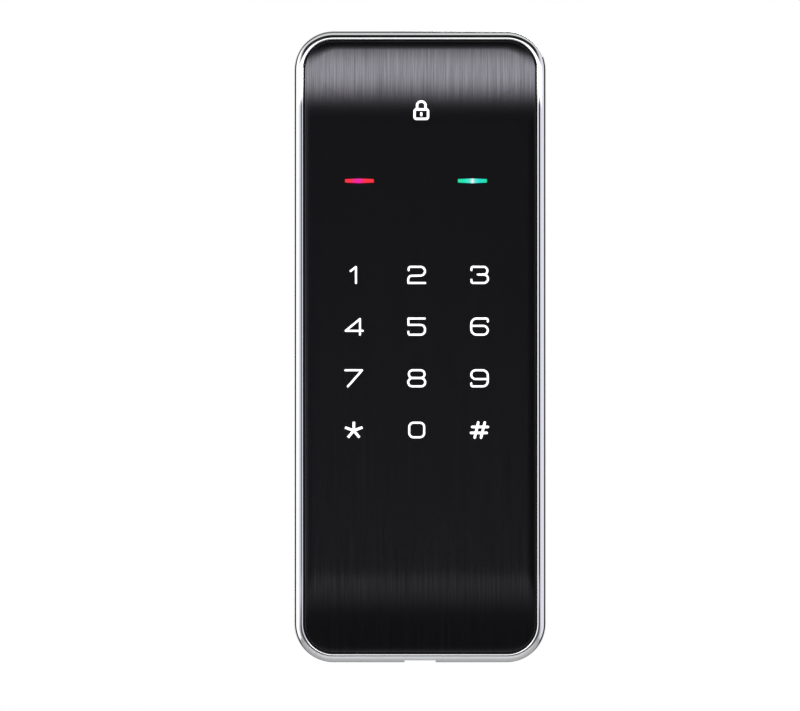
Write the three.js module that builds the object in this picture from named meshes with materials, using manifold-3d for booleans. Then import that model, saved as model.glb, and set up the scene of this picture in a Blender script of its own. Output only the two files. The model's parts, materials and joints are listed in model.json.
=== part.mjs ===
// Keypad smart lock for a door with a 54 mm cross bore: the outside keypad unit, the inside motor
// unit, and the through bolts, tailpiece and cable that join them through the door.
// Millimetres, +Z up. The origin is the spindle axis at the door's outer face; -Y is outdoors.
import * as THREE from "three";
import { mergeVertices } from "three/addons/utils/BufferGeometryUtils.js";
import Module from "manifold-3d";

// ---- Driving dimensions ----
const clear = 0.3; // gap left between neighbouring pieces
const running = 0.08; // radial gap round a turning shaft
const doorThickness = 44.5;
const crossBore = 54; // diameter of the hole in the door, which the cable and the bolts pass through
const boltSpacing = 38; // between the two through bolts

const unitWidth = 66; // outside unit, at its widest, against the door
const unitHeight = 165;
const unitDepth = 24; // from the door to the crown of the frame
const belowSpindle = 38; // from the spindle down to the unit's bottom end
const cornerRadius = 10.4;
const housingDraft = 0.45; // how much each side narrows from the door to the frame
const endLength = 24; // length of the stretch at each end where the front curves back
const endDrop = 3; // how far it has curved back at the very end
const frameWidth = 2.1; // chrome seen beside the panel
const panelReveal = 0.45; // shadow gap between the frame and the panel
const panelSunk = 0.4; // panel below the frame's crown
const panelThickness = 1.8;
const lipWidth = 3.35; // hidden ledge of the frame that carries the panel
const lipThickness = 1.5;
const sealThickness = 0.6;
const outsideWall = 2.4;
const padThickness = 1.5; // rubber pad against the door
const padWidth = 7;
const backPlateThickness = 1.5;
const cornerScrewInset = [6.6, 8.5]; // from the unit's sides and ends to the back plate's screws
const grommetWall = 1.6; // of the rubber bush round the cable, and of its lips

const keypadShift = -0.8; // the legends sit this far from the unit's centre line
const lightBarSpacing = 29.8;
const lightBarDrop = 39.3; // from the unit's top down to the light bars
const lightBarSize = [7.5, 1.3];

const sideRoom = 1.2; // beside the row of cells, inside the cover
const headRoom = 7.3; // from the battery tray to the cover's top
const boardRoom = 13.4; // from the chassis floor to the battery tray, for the board and the gears
const insideBelow = 37; // from the spindle down to the inside unit's bottom end
const insideRadius = 10;
const coverWall = 2.2;
const coverEdge = 3.5; // rounding between the cover's sides and its face
const seamToTray = 7; // from that seam up to the battery tray
const insidePlateThickness = 2;
const chassisFloor = 2;
const chassisWall = 1.8;
const boardThickness = 1.6;

const boltRadius = 2.4;
const boltHeadRadius = 4.6;
const boltHeadHeight = 3;
const postRadius = 4.5; // threaded post of the outside unit
const postReach = 12; // how far the posts reach into the door
const screwRadius = 1.5;
const housingScrewRadius = 1.3;
const screwHead = 1.2; // height of a pan head
const screwHeadRadius = 2.6;
const screwDriveWidth = 0.7; // width of the cross slot in a screw's head
const sunk = 0.1; // how far a part of one piece is sunk into the rest of it
const beyond = 1; // how far a cutting tool passes the surface it cuts

const gearThickness = 3.6; // main gear
const wheelThickness = 3.2; // reduction wheel and motor pinion
const gearGap = 0.8; // between the gears along their axes
const gearPlateThickness = 1.4;
const gearModule = 1;
const mainTeeth = 36;
const reductionPinionTeeth = 12;
const reductionWheelTeeth = 25;
const motorTeeth = 10;
const pressureAngle = THREE.MathUtils.degToRad(25);
const toothThinning = 0.22; // taken off each tooth at the pitch circle, for backlash
const motorWidth = 12;
const motorHeight = 10;
const hubRadius = 6.5;
const tailpieceWidth = 8;
const tailpieceThickness = 2.2;
const reductionDirection = THREE.MathUtils.degToRad(118); // from the spindle to the reduction gear
const motorDirection = THREE.MathUtils.degToRad(112); // from the reduction gear to the motor

const cellRadius = 7.25; // AA cell
const cellLength = 50.5;
const cellCount = 4;
const springRoom = 4.6; // length left for the contacts at both ends of a cell
const cellFront = 1; // gap between the cells and the cover
const trayFloorThickness = 2.3;
const trayWall = 1.8;

const cableRadius = 2.2;
const plugSize = [9, 2 * cableRadius, 6]; // across, deep, long
const plugSeat = 1.6; // height of the socket the outside plug sits on
const cableX = 9;
const cableInset = 6; // from the edge of the cross bore to the cable's middle
const cableZ = Math.sqrt((crossBore / 2 - cableInset) ** 2 - cableX ** 2);

// ---- Solids ----
const wasm = await Module();
wasm.setup();
const lock = new THREE.Group();

/** The manifold-3d solid of a closed three.js geometry. */
function solid(geometry) {
  const bare = geometry.clone();
  bare.deleteAttribute("normal");
  bare.deleteAttribute("uv");
  const merged = mergeVertices(bare, 1e-4);
  return new wasm.Manifold(
    new wasm.Mesh({
      numProp: 3,
      vertProperties: merged.attributes.position.array,
      triVerts: new Uint32Array(merged.index.array),
    }),
  );
}

/** The three.js geometry of a manifold-3d solid. */
function geometryOf(made) {
  const mesh = made.getMesh();
  const geometry = new THREE.BufferGeometry();
  geometry.setAttribute("position", new THREE.BufferAttribute(mesh.vertProperties, 3));
  geometry.setIndex(new THREE.BufferAttribute(mesh.triVerts, 1));
  geometry.computeVertexNormals();
  return geometry;
}

const join = (...parts) => parts.reduce((a, b) => a.add(b));
const cut = (body, ...tools) => tools.reduce((a, b) => a.subtract(b), body);

/** A box between two limits along each axis. */
function block(x0, x1, y0, y1, z0, z1) {
  const box = new THREE.BoxGeometry(x1 - x0, y1 - y0, z1 - z0);
  return solid(box.translate((x0 + x1) / 2, (y0 + y1) / 2, (z0 + z1) / 2));
}

/** A round bar along Y, from y0 to y1, centred on x and z. */
function bar(radius, y0, y1, x = 0, z = 0, sides = 16) {
  const cylinder = new THREE.CylinderGeometry(radius, radius, y1 - y0, sides);
  return solid(cylinder.translate(x, (y0 + y1) / 2, z));
}

/** A round bar along Z, from z0 to z1, centred on x and y. */
function upright(radius, z0, z1, x, y, sides = 24) {
  const cylinder = new THREE.CylinderGeometry(radius, radius, z1 - z0, sides);
  return solid(cylinder.rotateX(Math.PI / 2).translate(x, y, (z0 + z1) / 2));
}

/** A shape drawn in X and Z, extruded along Y from y0 to y1. */
function prism(shape, y0, y1, curveSegments = 3) {
  const extruded = new THREE.ExtrudeGeometry(shape, {
    depth: y1 - y0,
    bevelEnabled: false,
    curveSegments,
  });
  return solid(extruded.rotateX(Math.PI / 2).translate(0, y1, 0));
}

/** A body turned about the Y axis, from [radius, y] points that start and end on the axis. */
function turned(points, sides = 28) {
  return solid(new THREE.LatheGeometry(points.map(([r, y]) => new THREE.Vector2(r, y)), sides));
}

/** A rectangle with round corners, in X and Z. */
function roundedRect(width, height, radius, x = 0, z = 0) {
  const [w, h] = [width / 2, height / 2];
  const shape = new THREE.Shape();
  shape.moveTo(x + w, z - h + radius);
  shape.absarc(x + w - radius, z + h - radius, radius, 0, Math.PI / 2);
  shape.absarc(x - w + radius, z + h - radius, radius, Math.PI / 2, Math.PI);
  shape.absarc(x - w + radius, z - h + radius, radius, Math.PI, 1.5 * Math.PI);
  shape.absarc(x + w - radius, z - h + radius, radius, 1.5 * Math.PI, 2 * Math.PI);
  return shape;
}

/** Stations round a rounded rectangle: each has its place and its outward normal, in X and Z.
 *  straightStops are extra stations on the long sides, as distances from the middle height. */
function stations({ width, height, radius, middle }, straightStops = [], arcSteps = 6) {
  const [w, h] = [width / 2 - radius, height / 2 - radius];
  const centres = [[w, h], [-w, h], [-w, -h], [w, -h]];
  const down = [...[...straightStops].reverse(), ...straightStops.map((stop) => -stop)];
  const found = [];
  centres.forEach(([cx, cz], corner) => {
    for (let i = 0; i <= arcSteps; i++) {
      const angle = ((corner + i / arcSteps) * Math.PI) / 2;
      const [nx, nz] = [Math.cos(angle), Math.sin(angle)];
      found.push({ x: cx + radius * nx, z: middle + cz + radius * nz, nx, nz });
    }
    const side = corner === 1 ? -1 : corner === 3 ? 1 : 0;
    if (!side) return;
    for (const stop of side < 0 ? down : [...down].reverse())
      found.push({ x: side * (width / 2), z: middle + stop, nx: side, nz: 0 });
  });
  return found;
}

/** A closed ring: a section carried round a rounded rectangle. A section point is [inset, yAt],
 *  where yAt gives Y for a height Z. */
function ring(outline, section, straightStops) {
  const path = stations(outline, straightStops);
  const places = [];
  const faces = [];
  const [n, m] = [path.length, section.length];
  for (const { x, z, nx, nz } of path)
    for (const [inset, yAt] of section) {
      const depthZ = z - nz * inset;
      places.push(x - nx * inset, yAt(depthZ), depthZ);
    }
  for (let i = 0; i < n; i++)
    for (let j = 0; j < m; j++) {
      const [a, b] = [i * m + j, i * m + ((j + 1) % m)];
      const [c, d] = [((i + 1) % n) * m + j, ((i + 1) % n) * m + ((j + 1) % m)];
      faces.push(a, b, c, b, d, c);
    }
  return solidFrom(places, faces);
}

/** A closed solid from rings of one rounded rectangle: levels are [inset, y], from the door side out. */
function shell(outline, levels, arcSteps = 6) {
  const path = stations(outline, [], arcSteps);
  const n = path.length;
  const places = levels.flatMap(([inset, y]) =>
    path.flatMap(({ x, z, nx, nz }) => [x - nx * inset, y, z - nz * inset]),
  );
  const faces = [];
  for (let k = 0; k + 1 < levels.length; k++)
    for (let i = 0; i < n; i++) {
      const [a, b] = [k * n + i, k * n + ((i + 1) % n)];
      faces.push(a, a + n, b, b, a + n, b + n);
    }
  const last = (levels.length - 1) * n;
  for (let i = 1; i + 1 < n; i++) {
    faces.push(0, i, i + 1);
    faces.push(last, last + i + 1, last + i);
  }
  return solidFrom(places, faces);
}

/** A solid from flat lists of places and faces, turned right side out if need be. */
function solidFrom(places, faces) {
  const geometry = new THREE.BufferGeometry();
  geometry.setAttribute("position", new THREE.Float32BufferAttribute(places, 3));
  geometry.setIndex(faces);
  const made = solid(geometry);
  if (made.volume() > 0) return made;
  for (let i = 0; i < faces.length; i += 3) [faces[i], faces[i + 1]] = [faces[i + 1], faces[i]];
  geometry.setIndex(faces);
  return solid(geometry);
}

/** A round wire or tube through points, with closed ends. */
function tube(points, radius, steps, sides = 8, tension = 0.5) {
  const circle = new THREE.Shape();
  circle.absarc(0, 0, radius, 0, 2 * Math.PI);
  const path = new THREE.CatmullRomCurve3(
    points.map((p) => new THREE.Vector3(...p)), false, "catmullrom", tension,
  );
  return solid(
    new THREE.ExtrudeGeometry(circle, { steps, extrudePath: path, curveSegments: sides }),
  );
}

/** Names a solid, gives it its material and adds it to the lock. */
function add(name, made, { color, roughness = 0.5, metalness = 0 }) {
  const material = new THREE.MeshStandardMaterial({ color, roughness, metalness });
  const mesh = new THREE.Mesh(geometryOf(made), material);
  mesh.name = name;
  lock.add(mesh);
}

const chrome = { color: 0xd8d9dc, roughness: 0.08, metalness: 1 };
const steel = { color: 0xa9abae, roughness: 0.35, metalness: 1 };
const brass = { color: 0xb89a5a, roughness: 0.35, metalness: 1 };
const panelBlack = { color: 0x17161a, roughness: 0.35, metalness: 0.4 };
const blackPlastic = { color: 0x1c1c1e, roughness: 0.55 };
const greyPlastic = { color: 0x4a4b4e, roughness: 0.6 };
const whitePlastic = { color: 0xe9e9e4, roughness: 0.5 };
const gearPlastic = { color: 0xd9d4c4, roughness: 0.45 };
const boardGreen = { color: 0x1f5a34, roughness: 0.5 };
const rubber = { color: 0x1a1a1a, roughness: 0.9 };
const redLight = { color: 0xff2a3c, roughness: 0.3 };
const greenLight = { color: 0x18e8c0, roughness: 0.3 };
const cellJacket = { color: 0x2f3a44, roughness: 0.4 };

// ---- Levels shared by the outside unit's pieces ----
const unitMiddle = unitHeight / 2 - belowSpindle;
const unitTop = unitHeight - belowSpindle;
const endRadius = (endLength ** 2 + endDrop ** 2) / (2 * endDrop);
const straightHalf = unitHeight / 2 - endLength; // half the length of the flat stretch of the front

/** Y of the frame's crown at a height: flat along the middle, an arc at each end. */
function crownY(z) {
  const past = Math.max(0, Math.abs(z - unitMiddle) - straightHalf);
  return -(unitDepth - endRadius + Math.sqrt(endRadius ** 2 - past ** 2));
}
const behindCrown = (depth) => (z) => crownY(z) + depth;
const at = (y) => () => y;

const frameOutline = {
  width: unitWidth - 2 * housingDraft,
  height: unitHeight - 2 * housingDraft,
  radius: cornerRadius - housingDraft,
  middle: unitMiddle,
};
const backOutline = {
  width: unitWidth,
  height: unitHeight,
  radius: cornerRadius,
  middle: unitMiddle,
};
const endSteps = 3;
const endStops = Array.from({ length: endSteps }, (_, i) =>
  straightHalf + (i / endSteps) * (endLength - cornerRadius),
);

const sealFront = panelSunk + panelThickness + clear / 2;
const lipFront = sealFront + sealThickness + clear / 2;
const lipBack = lipFront + lipThickness;
const panelInset = frameWidth + panelReveal;
const padFront = -padThickness;
const rimY = padFront - clear; // back rim of the housing
const plateFront = rimY - backPlateThickness;
const boltXs = [-boltSpacing / 2, boltSpacing / 2];
const sides = ["left", "right"];

/** A sheet that follows the front's curve, between two depths behind the crown. */
function curvedSheet(outlineInset, front, back) {
  const heights = [];
  const half = unitHeight / 2;
  const arcSteps = 6;
  for (let i = 0; i <= arcSteps; i++)
    heights.push(straightHalf + (i / arcSteps) * (half - straightHalf));
  const zs = [...heights.map((h) => unitMiddle - h).reverse(), ...heights.map((h) => unitMiddle + h)];
  const side = new THREE.Shape();
  zs.forEach((z, i) => (i ? side.lineTo(crownY(z) + front, z) : side.moveTo(crownY(z) + front, z)));
  [...zs].reverse().forEach((z) => side.lineTo(crownY(z) + back, z));
  const extruded = new THREE.ExtrudeGeometry(side, { depth: unitWidth, bevelEnabled: false });
  extruded.translate(0, 0, -unitWidth / 2);
  extruded.applyMatrix4(
    new THREE.Matrix4().makeBasis(
      new THREE.Vector3(0, 1, 0), new THREE.Vector3(0, 0, 1), new THREE.Vector3(1, 0, 0),
    ),
  );
  const { width, height, radius } = frameOutline;
  const outline = roundedRect(
    width - 2 * outlineInset, height - 2 * outlineInset, radius - outlineInset, 0, unitMiddle,
  );
  return solid(extruded).intersect(prism(outline, -unitDepth - 1, 0, 4));
}

// ---- Outside unit: casing ----

/** Emergency power port in the bottom wall, under the board's edge. */
const portSize = [7.5, 2.7, 5.6]; // across, front to back, along Z
const portRecess = 0.45; // shallow scoop that guides a plug in
const portRecessWidth = 8.1;
const boardFront = -unitDepth + endDrop + lipBack + clear;
const boardBack = boardFront + boardThickness;
const portY = boardBack + clear + portSize[1] / 2;
const portZ = -belowSpindle + 0.8; // the port's mouth

/** The scoop that both the frame and the housing are cut by. */
function portScoop() {
  const half = portRecessWidth / 2;
  const deepest = -belowSpindle + housingDraft + portRecess;
  return block(-half, half, -unitDepth - 1, portY + 4, -belowSpindle - 1, deepest);
}

/** The frame: its section has a rolled outer edge, a crown, a bevel to the panel and the panel's ledge. */
function chromeFrame() {
  const section = [
    [0, behindCrown(lipBack)],
    [0, behindCrown(1.7)],
    [0.1, behindCrown(1.02)],
    [0.42, behindCrown(0.47)],
    [0.9, behindCrown(0.14)],
    [1.35, behindCrown(0.05)],
    [1.55, behindCrown(0.05)],
    [1.9, behindCrown(0.3)],
    [frameWidth, behindCrown(0.75)],
    [frameWidth, behindCrown(lipFront)],
    [frameWidth + lipWidth, behindCrown(lipFront)],
    [frameWidth + lipWidth, behindCrown(lipBack)],
  ];
  return cut(ring(frameOutline, section, endStops), portScoop());
}

/** Places of the screws that hold the back plate, in the housing's four corners. */
const [fromSide, fromEnd] = cornerScrewInset;
const cornerScrews = [-1, 1].flatMap((side) =>
  [-belowSpindle + fromEnd, unitTop - fromEnd].map((z) => [side * (unitWidth / 2 - fromSide), z]),
);

/** The casing behind the frame: a ring of wall with a screw boss in each corner. */
function outsideHousing() {
  const bossRadius = 3.4;
  const frontEdge = behindCrown(lipBack + clear);
  const section = [
    [0, at(rimY)],
    [housingDraft, frontEdge],
    [outsideWall + housingDraft, frontEdge],
    [outsideWall + housingDraft, at(rimY)],
  ];
  const bossFront = boardBack + 1.5;
  const bosses = cornerScrews.map(([x, z]) => bar(bossRadius, bossFront, plateFront - clear, x, z));
  const pilots = cornerScrews.map(([x, z]) =>
    bar(housingScrewRadius + clear, bossFront + 2, 0, x, z, 12));
  const [across, deep] = portSize;
  const portHole = block(
    -across / 2 - clear, across / 2 + clear, portY - deep / 2 - clear, portY + deep / 2 + clear,
    -belowSpindle - 1, -belowSpindle + 8,
  );
  return cut(join(ring(backOutline, section, endStops), ...bosses), ...pilots, portHole, portScoop());
}

const plateInset = outsideWall + housingDraft + clear;
const windowSize = 30; // square windows that lighten the back plate
const windowPitch = 47;
const windowAboveCable = 26; // from the cable to the middle of the first window

/** Steel plate that closes the casing's back, with holes for the screws, posts and cable. */
function backPlate() {
  const outline = roundedRect(
    unitWidth - 2 * plateInset, unitHeight - 2 * plateInset, cornerRadius - plateInset, 0, unitMiddle,
  );
  const windows = [];
  for (let z = cableZ + windowAboveCable; z + windowSize < unitTop; z += windowPitch)
    windows.push(prism(roundedRect(windowSize, windowSize, 4, 0, z), plateFront - 1, rimY + 1));
  return cut(
    prism(outline, plateFront, rimY),
    ...cornerScrews.map(([x, z]) => bar(screwRadius + clear, plateFront - 1, rimY + 1, x, z, 12)),
    ...boltXs.map((x) => bar(postRadius + clear, plateFront - 1, rimY + 1, x)),
    bar(cableRadius + grommetWall, plateFront - 1, rimY + 1, cableX, cableZ),
    ...windows,
  );
}

/** Rubber pad round the unit's back, with a recess for each screw head and each post. */
function doorPad() {
  const padInset = 0.5;
  const [width, height] = [unitWidth - 2 * padInset, unitHeight - 2 * padInset];
  const outer = roundedRect(width, height, cornerRadius - padInset, 0, unitMiddle);
  const inner = roundedRect(width - 2 * padWidth, height - 2 * padWidth, 4, 0, unitMiddle);
  const headRoomRadius = screwHeadRadius + 2 * clear;
  const recesses = cornerScrews.map(([x, z]) => bar(headRoomRadius, padFront - 1, 1, x, z, 16));
  const posts = boltXs.map((x) => bar(postRadius + clear, padFront - 1, 1, x));
  return cut(prism(outer, padFront, 0), prism(inner, padFront - 1, 1), ...recesses, ...posts);
}

/** A pan-head screw along Y: the head's top is at headY, and the shank runs to tipY. */
function panScrew(x, z, headY, tipY, shank = screwRadius) {
  const underHead = headY - screwHead;
  const slot = [headY - screwHead / 2, headY + beyond];
  const [long, wide] = [screwHeadRadius * 0.6, screwDriveWidth / 2];
  return cut(
    join(
      bar(screwHeadRadius, underHead, headY, x, z),
      bar(shank, tipY, underHead + sunk, x, z, 12),
    ),
    block(x - long, x + long, ...slot, z - wide, z + wide),
    block(x - wide, x + wide, ...slot, z - long, z + long),
  );
}

/** Post that a through bolt screws into: a hexagon flange inside the casing and a bored stem. */
function boltPost(x) {
  const flangeThickness = 2;
  const flangeRadius = postRadius + 2.2;
  const back = plateFront - clear;
  const front = back - flangeThickness;
  const flange = bar(flangeRadius, front, back, x, 0, 6);
  const stem = bar(postRadius, front, postReach, x);
  return cut(join(flange, stem), bar(boltRadius + clear, back + 1, postReach + beyond, x, 0, 20));
}

// ---- Outside unit: panel, lights and board ----
const lightBarZ = unitTop - lightBarDrop;
const lightBarXs = [-1, 1].map((s) => keypadShift + (s * lightBarSpacing) / 2);
const guideFront = -unitDepth + panelSunk + panelThickness + clear;
const guideBack = boardFront - clear;
const guideAbove = 11.3; // how far the light guide reaches above the light bars
const guideHeight = 86;

function lightBarHole(x, grow) {
  const [w, h] = lightBarSize;
  return block(
    x - w / 2 - grow, x + w / 2 + grow, -unitDepth - 1, guideBack + 1,
    lightBarZ - h / 2 - grow, lightBarZ + h / 2 + grow,
  );
}

function frontPanel() {
  const sheet = curvedSheet(panelInset, panelSunk, panelSunk + panelThickness);
  return cut(sheet, ...lightBarXs.map((x) => lightBarHole(x, clear / 2)));
}

function panelSeal() {
  const outer = curvedSheet(panelInset, sealFront, sealFront + sealThickness);
  const { width, height } = frameOutline;
  const inset = frameWidth + lipWidth;
  const window = roundedRect(width - 2 * inset, height - 2 * inset, 4, 0, unitMiddle);
  return cut(outer, prism(window, -unitDepth - 1, 0));
}

function lightBar(x) {
  const [w, h] = lightBarSize;
  return block(
    x - w / 2, x + w / 2, -unitDepth + panelSunk, guideBack,
    lightBarZ - h / 2, lightBarZ + h / 2,
  );
}

function lightGuide() {
  const width = frameOutline.width - 2 * (frameWidth + lipWidth) - 4 * clear;
  const middle = lightBarZ + guideAbove - guideHeight / 2;
  const body = prism(roundedRect(width, guideHeight, 3, 0, middle), guideFront, guideBack);
  return cut(body, ...lightBarXs.map((x) => lightBarHole(x, clear)));
}

/** Touch sensor board, with three chips and the cable's socket on its back. */
function touchBoard() {
  const [aboveLights, aboveEnd, beside] = [16, 3.2, 6.5];
  const top = lightBarZ + aboveLights;
  const bottom = -belowSpindle + aboveEnd;
  const width = unitWidth - 2 * beside;
  const outline = roundedRect(width, top - bottom, 3, 0, (top + bottom) / 2);
  const socketHalf = plugSize[0] / 2 + 1;
  const onBoard = (x0, x1, under, tall, high) =>
    block(x0, x1, boardBack - sunk, boardBack + high, lightBarZ - under - tall, lightBarZ - under);
  const chips = [
    onBoard(-8, 4, 36, 12, 1.4),
    onBoard(-17, -11, 60, 6, 1.1),
    onBoard(10, 18, 28, 6, 1.1),
    block(
      cableX - socketHalf, cableX + socketHalf, boardBack - sunk, boardBack + plugSeat,
      cableZ - plugSize[2] / 2, cableZ + plugSize[2] / 2,
    ),
  ];
  return join(prism(outline, boardFront, boardBack), ...chips);
}

/** Sounder on the back of the board. */
function buzzer() {
  const [radius, height, mouth] = [6, 4, 1];
  const front = boardBack + clear;
  const back = front + height;
  const [x, z] = [-12, lightBarZ - 10];
  return cut(bar(radius, front, back, x, z, 20), bar(mouth, back - 1, back + beyond, x, z, 12));
}

/** Micro USB socket: a thin metal shell with a tongue in it, open downwards. */
function powerPort() {
  const [across, deep, long] = portSize;
  const wall = 0.35;
  const outer = block(
    -across / 2, across / 2, portY - deep / 2, portY + deep / 2, portZ, portZ + long,
  );
  const hollow = block(
    -across / 2 + wall, across / 2 - wall, portY - deep / 2 + wall, portY + deep / 2 - wall,
    portZ - 1, portZ + long - 1,
  );
  const tongue = block(-1.9, 1.9, portY - 0.3, portY + 0.3, portZ + 0.6, portZ + long - 0.5);
  return join(cut(outer, hollow), tongue);
}

/** Rubber bush where the cable leaves the back plate. */
function cableGrommet() {
  const hole = cableRadius + grommetWall - clear;
  const bore = cableRadius + clear;
  const lip = hole + grommetWall;
  const [front, back] = [plateFront - grommetWall, rimY + grommetWall];
  return solid(
    new THREE.LatheGeometry(
      [
        [bore, front],
        [lip, front],
        [lip, plateFront - clear],
        [hole, plateFront - clear],
        [hole, rimY + clear],
        [lip, rimY + clear],
        [lip, back],
        [bore, back],
        [bore, front],
      ].map(([r, y]) => new THREE.Vector2(r, y)),
      24,
    ).translate(cableX, 0, cableZ),
  );
}

// ---- Levels shared by the inside unit's pieces ----
const pitchRadius = (teeth) => (teeth * gearModule) / 2;
const along = ([x, z], angle, distance) => [
  x + Math.cos(angle) * distance,
  z + Math.sin(angle) * distance,
];
const reductionAt = along(
  [0, 0], reductionDirection, pitchRadius(mainTeeth) + pitchRadius(reductionPinionTeeth),
);
const motorAt = along(
  reductionAt, motorDirection, pitchRadius(reductionWheelTeeth) + pitchRadius(motorTeeth),
);

const aboveMotor = 7.6; // from the motor up to the seam between the covers
const coverSplit = motorAt[1] + motorHeight / 2 + aboveMotor; // height of that seam
const cellPitch = 2 * cellRadius + clear;
const cellXs = Array.from({ length: cellCount }, (_, i) => (i - (cellCount - 1) / 2) * cellPitch);
const trayBottom = coverSplit + seamToTray;
const trayTop = trayBottom + 2 * trayWall + cellLength + springRoom;
const cellMiddle = (trayBottom + trayTop) / 2;

const insideWidth = cellCount * cellPitch + 2 * (sideRoom + coverWall);
const insideTop = trayTop + headRoom;
const insideHeight = insideTop + insideBelow;
const insideMiddle = (insideTop - insideBelow) / 2;
const insideOutline = {
  width: insideWidth,
  height: insideHeight,
  radius: insideRadius,
  middle: insideMiddle,
};

// From the door inwards, along Y:
const insidePlateBack = doorThickness + insidePlateThickness;
const floorDoor = insidePlateBack + clear;
const floorBack = floorDoor + chassisFloor;
const underGears = 3.2; // from the chassis floor to the gears
const gearDoor = floorBack + underGears; // the main gear and the pinion it meets
const wheelDoor = gearDoor + gearThickness + gearGap; // the reduction wheel and the motor pinion
const gearPlateDoor = wheelDoor + wheelThickness + gearGap;
const gearPlateBack = gearPlateDoor + gearPlateThickness;
const trayDoor = floorBack + boardRoom;
const trayFloor = trayDoor + trayFloorThickness;
const cellY = trayFloor + clear + cellRadius;
const coverInner = cellY + cellRadius + cellFront;
const insideFace = coverInner + coverWall;
const chassisInset = coverWall + 0.7;
const chassisRim = trayDoor - clear;

// ---- Inside unit: plate, chassis and covers ----
const chassisScrews = [
  [-21, 10 - insideBelow],
  [21, 10 - insideBelow],
  [-21, coverSplit - 3],
  [21, coverSplit - 3],
];
const coverScrewAt = [-1, 1].map((s) => [s * (insideWidth / 2 - 7.6), coverSplit + 2.6]);

/** Steel plate on the door's inner face, which the bolts pull on. */
function insidePlate() {
  const outline = roundedRect(
    insideWidth - 2 * chassisInset, insideHeight - 2 * chassisInset, insideRadius - chassisInset,
    0, insideMiddle,
  );
  const through = (shape) => prism(shape, doorThickness - 1, insidePlateBack + 1);
  return cut(
    prism(outline, doorThickness, insidePlateBack),
    bar(hubRadius + 3, doorThickness - 1, insidePlateBack + 1),
    ...boltXs.map((x) => through(roundedRect(2 * boltRadius + 4, 2 * boltRadius + 0.6, 2, x, 0))),
    through(roundedRect(9, 8, 3, cableX, cableZ)),
    ...chassisScrews.map(([x, z]) =>
      bar(screwRadius + clear, doorThickness - 1, insidePlateBack + 1, x, z, 12)),
    ...[15, 41].map((above) => through(roundedRect(34, 14, 4, 0, trayBottom + above))),
  );
}

/** Bolt from the inside plate to its post, with a hexagon socket in its head. */
function throughBolt(x) {
  const [socketRadius, socketDepth] = [1.7, 1.6];
  const underHead = insidePlateBack + clear;
  const headTop = underHead + boltHeadHeight;
  const tip = plateFront + 4;
  const head = bar(boltHeadRadius, underHead, headTop, x, 0, 28);
  const shank = bar(boltRadius, tip, underHead + sunk, x, 0, 20);
  return cut(join(head, shank), bar(socketRadius, headTop - socketDepth, headTop + beyond, x, 0, 6));
}

/** Grey tray under the covers, which the boards, gears and batteries stand in. */
function insideChassis() {
  const outer = {
    width: insideWidth - 2 * chassisInset,
    height: insideHeight - 2 * chassisInset,
    radius: insideRadius - chassisInset,
    middle: insideMiddle,
  };
  const tray = shell(outer, [[0, floorDoor], [0, chassisRim]]);
  const hollow = shell(outer, [[chassisWall, floorBack], [chassisWall, chassisRim + 1]]);
  const posts = coverScrewAt.map(([x, z]) => bar(3.2, floorDoor + 1, chassisRim, x, z, 16));
  const pilots = coverScrewAt.map(([x, z]) =>
    bar(housingScrewRadius + clear, chassisRim - 9, chassisRim + 1, x, z, 12));
  const through = (radius, x, z, n) => bar(radius, floorDoor - 1, floorBack + 1, x, z, n);
  return cut(
    join(cut(tray, hollow), ...posts),
    ...pilots,
    through(hubRadius + clear, 0, 0, 32),
    ...boltXs.map((x) => through(boltHeadRadius + 1, x, 0, 24)),
    prism(roundedRect(9, 13, 3, cableX, cableZ + 2.5), floorDoor - 1, floorBack + 1),
    ...chassisScrews.map(([x, z]) => through(screwRadius + clear, x, z, 12)),
  );
}

/** The inside unit's outer skin, whole, before it is split into its two covers. */
function coverSkin() {
  const round = (k) => [
    coverEdge * (1 - Math.cos((k * Math.PI) / 2)),
    insideFace - coverEdge * (1 - Math.sin((k * Math.PI) / 2)),
  ];
  const outer = shell(insideOutline, [[0, floorDoor], ...[0, 0.25, 0.5, 0.75, 1].map(round)]);
  const inner = shell(insideOutline, [
    [coverWall, floorDoor - 1],
    [coverWall, coverInner - 1.5],
    [coverWall + 1.5, coverInner],
  ]);
  return cut(outer, inner);
}

const seamGap = clear / 2;
const far = 200; // past every face of the lock
const below = (z) => block(-far, far, 0, far, -far, z);
const buttonZ = coverSplit - 12;
const buttonRadius = 4.2;
const buttonStep = 1; // the button's flange, inside the cover, is this much wider and thicker
const lensZ = coverSplit - 4;
const lensRadius = 1.6;
const bushRadius = hubRadius + clear + 1.8;
const buttonBoardDoor = coverInner - 6.5;
const tabThickness = 2;

/** Lower cover: carries the thumbturn bush, the button and the lens, and two screw tabs. */
function lowerCover() {
  const skin = coverSkin().intersect(below(coverSplit - seamGap));
  const tabHalf = 3;
  const tabDepth = [trayDoor, trayDoor + tabThickness];
  const tabs = coverScrewAt.map(([x, z]) => {
    const inWall = Math.sign(x) * (insideWidth / 2 - 1);
    const [left, right] = [Math.min(x - tabHalf, inWall), Math.max(x + tabHalf, inWall)];
    return join(
      block(left, right, ...tabDepth, coverSplit - 8, coverSplit - 2),
      block(x - tabHalf, x + tabHalf, ...tabDepth, coverSplit - 4, z + tabHalf),
    );
  });
  const pins = [-1, 1].map((s) =>
    bar(1.2, buttonBoardDoor + boardThickness + clear, coverInner + 0.5, s * 7, buttonZ + 6, 12));
  return cut(
    join(skin, ...tabs, ...pins),
    bar(bushRadius + clear / 2, coverInner - 5, insideFace + 1, 0, 0, 36),
    bar(buttonRadius + clear, coverInner - 5, insideFace + 1, 0, buttonZ, 28),
    bar(lensRadius + clear / 2, coverInner - 5, insideFace + 1, 0, lensZ, 20),
    ...coverScrewAt.map(([x, z]) => bar(screwRadius + clear, trayDoor - 1, trayDoor + 3, x, z, 12)),
  );
}

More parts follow.
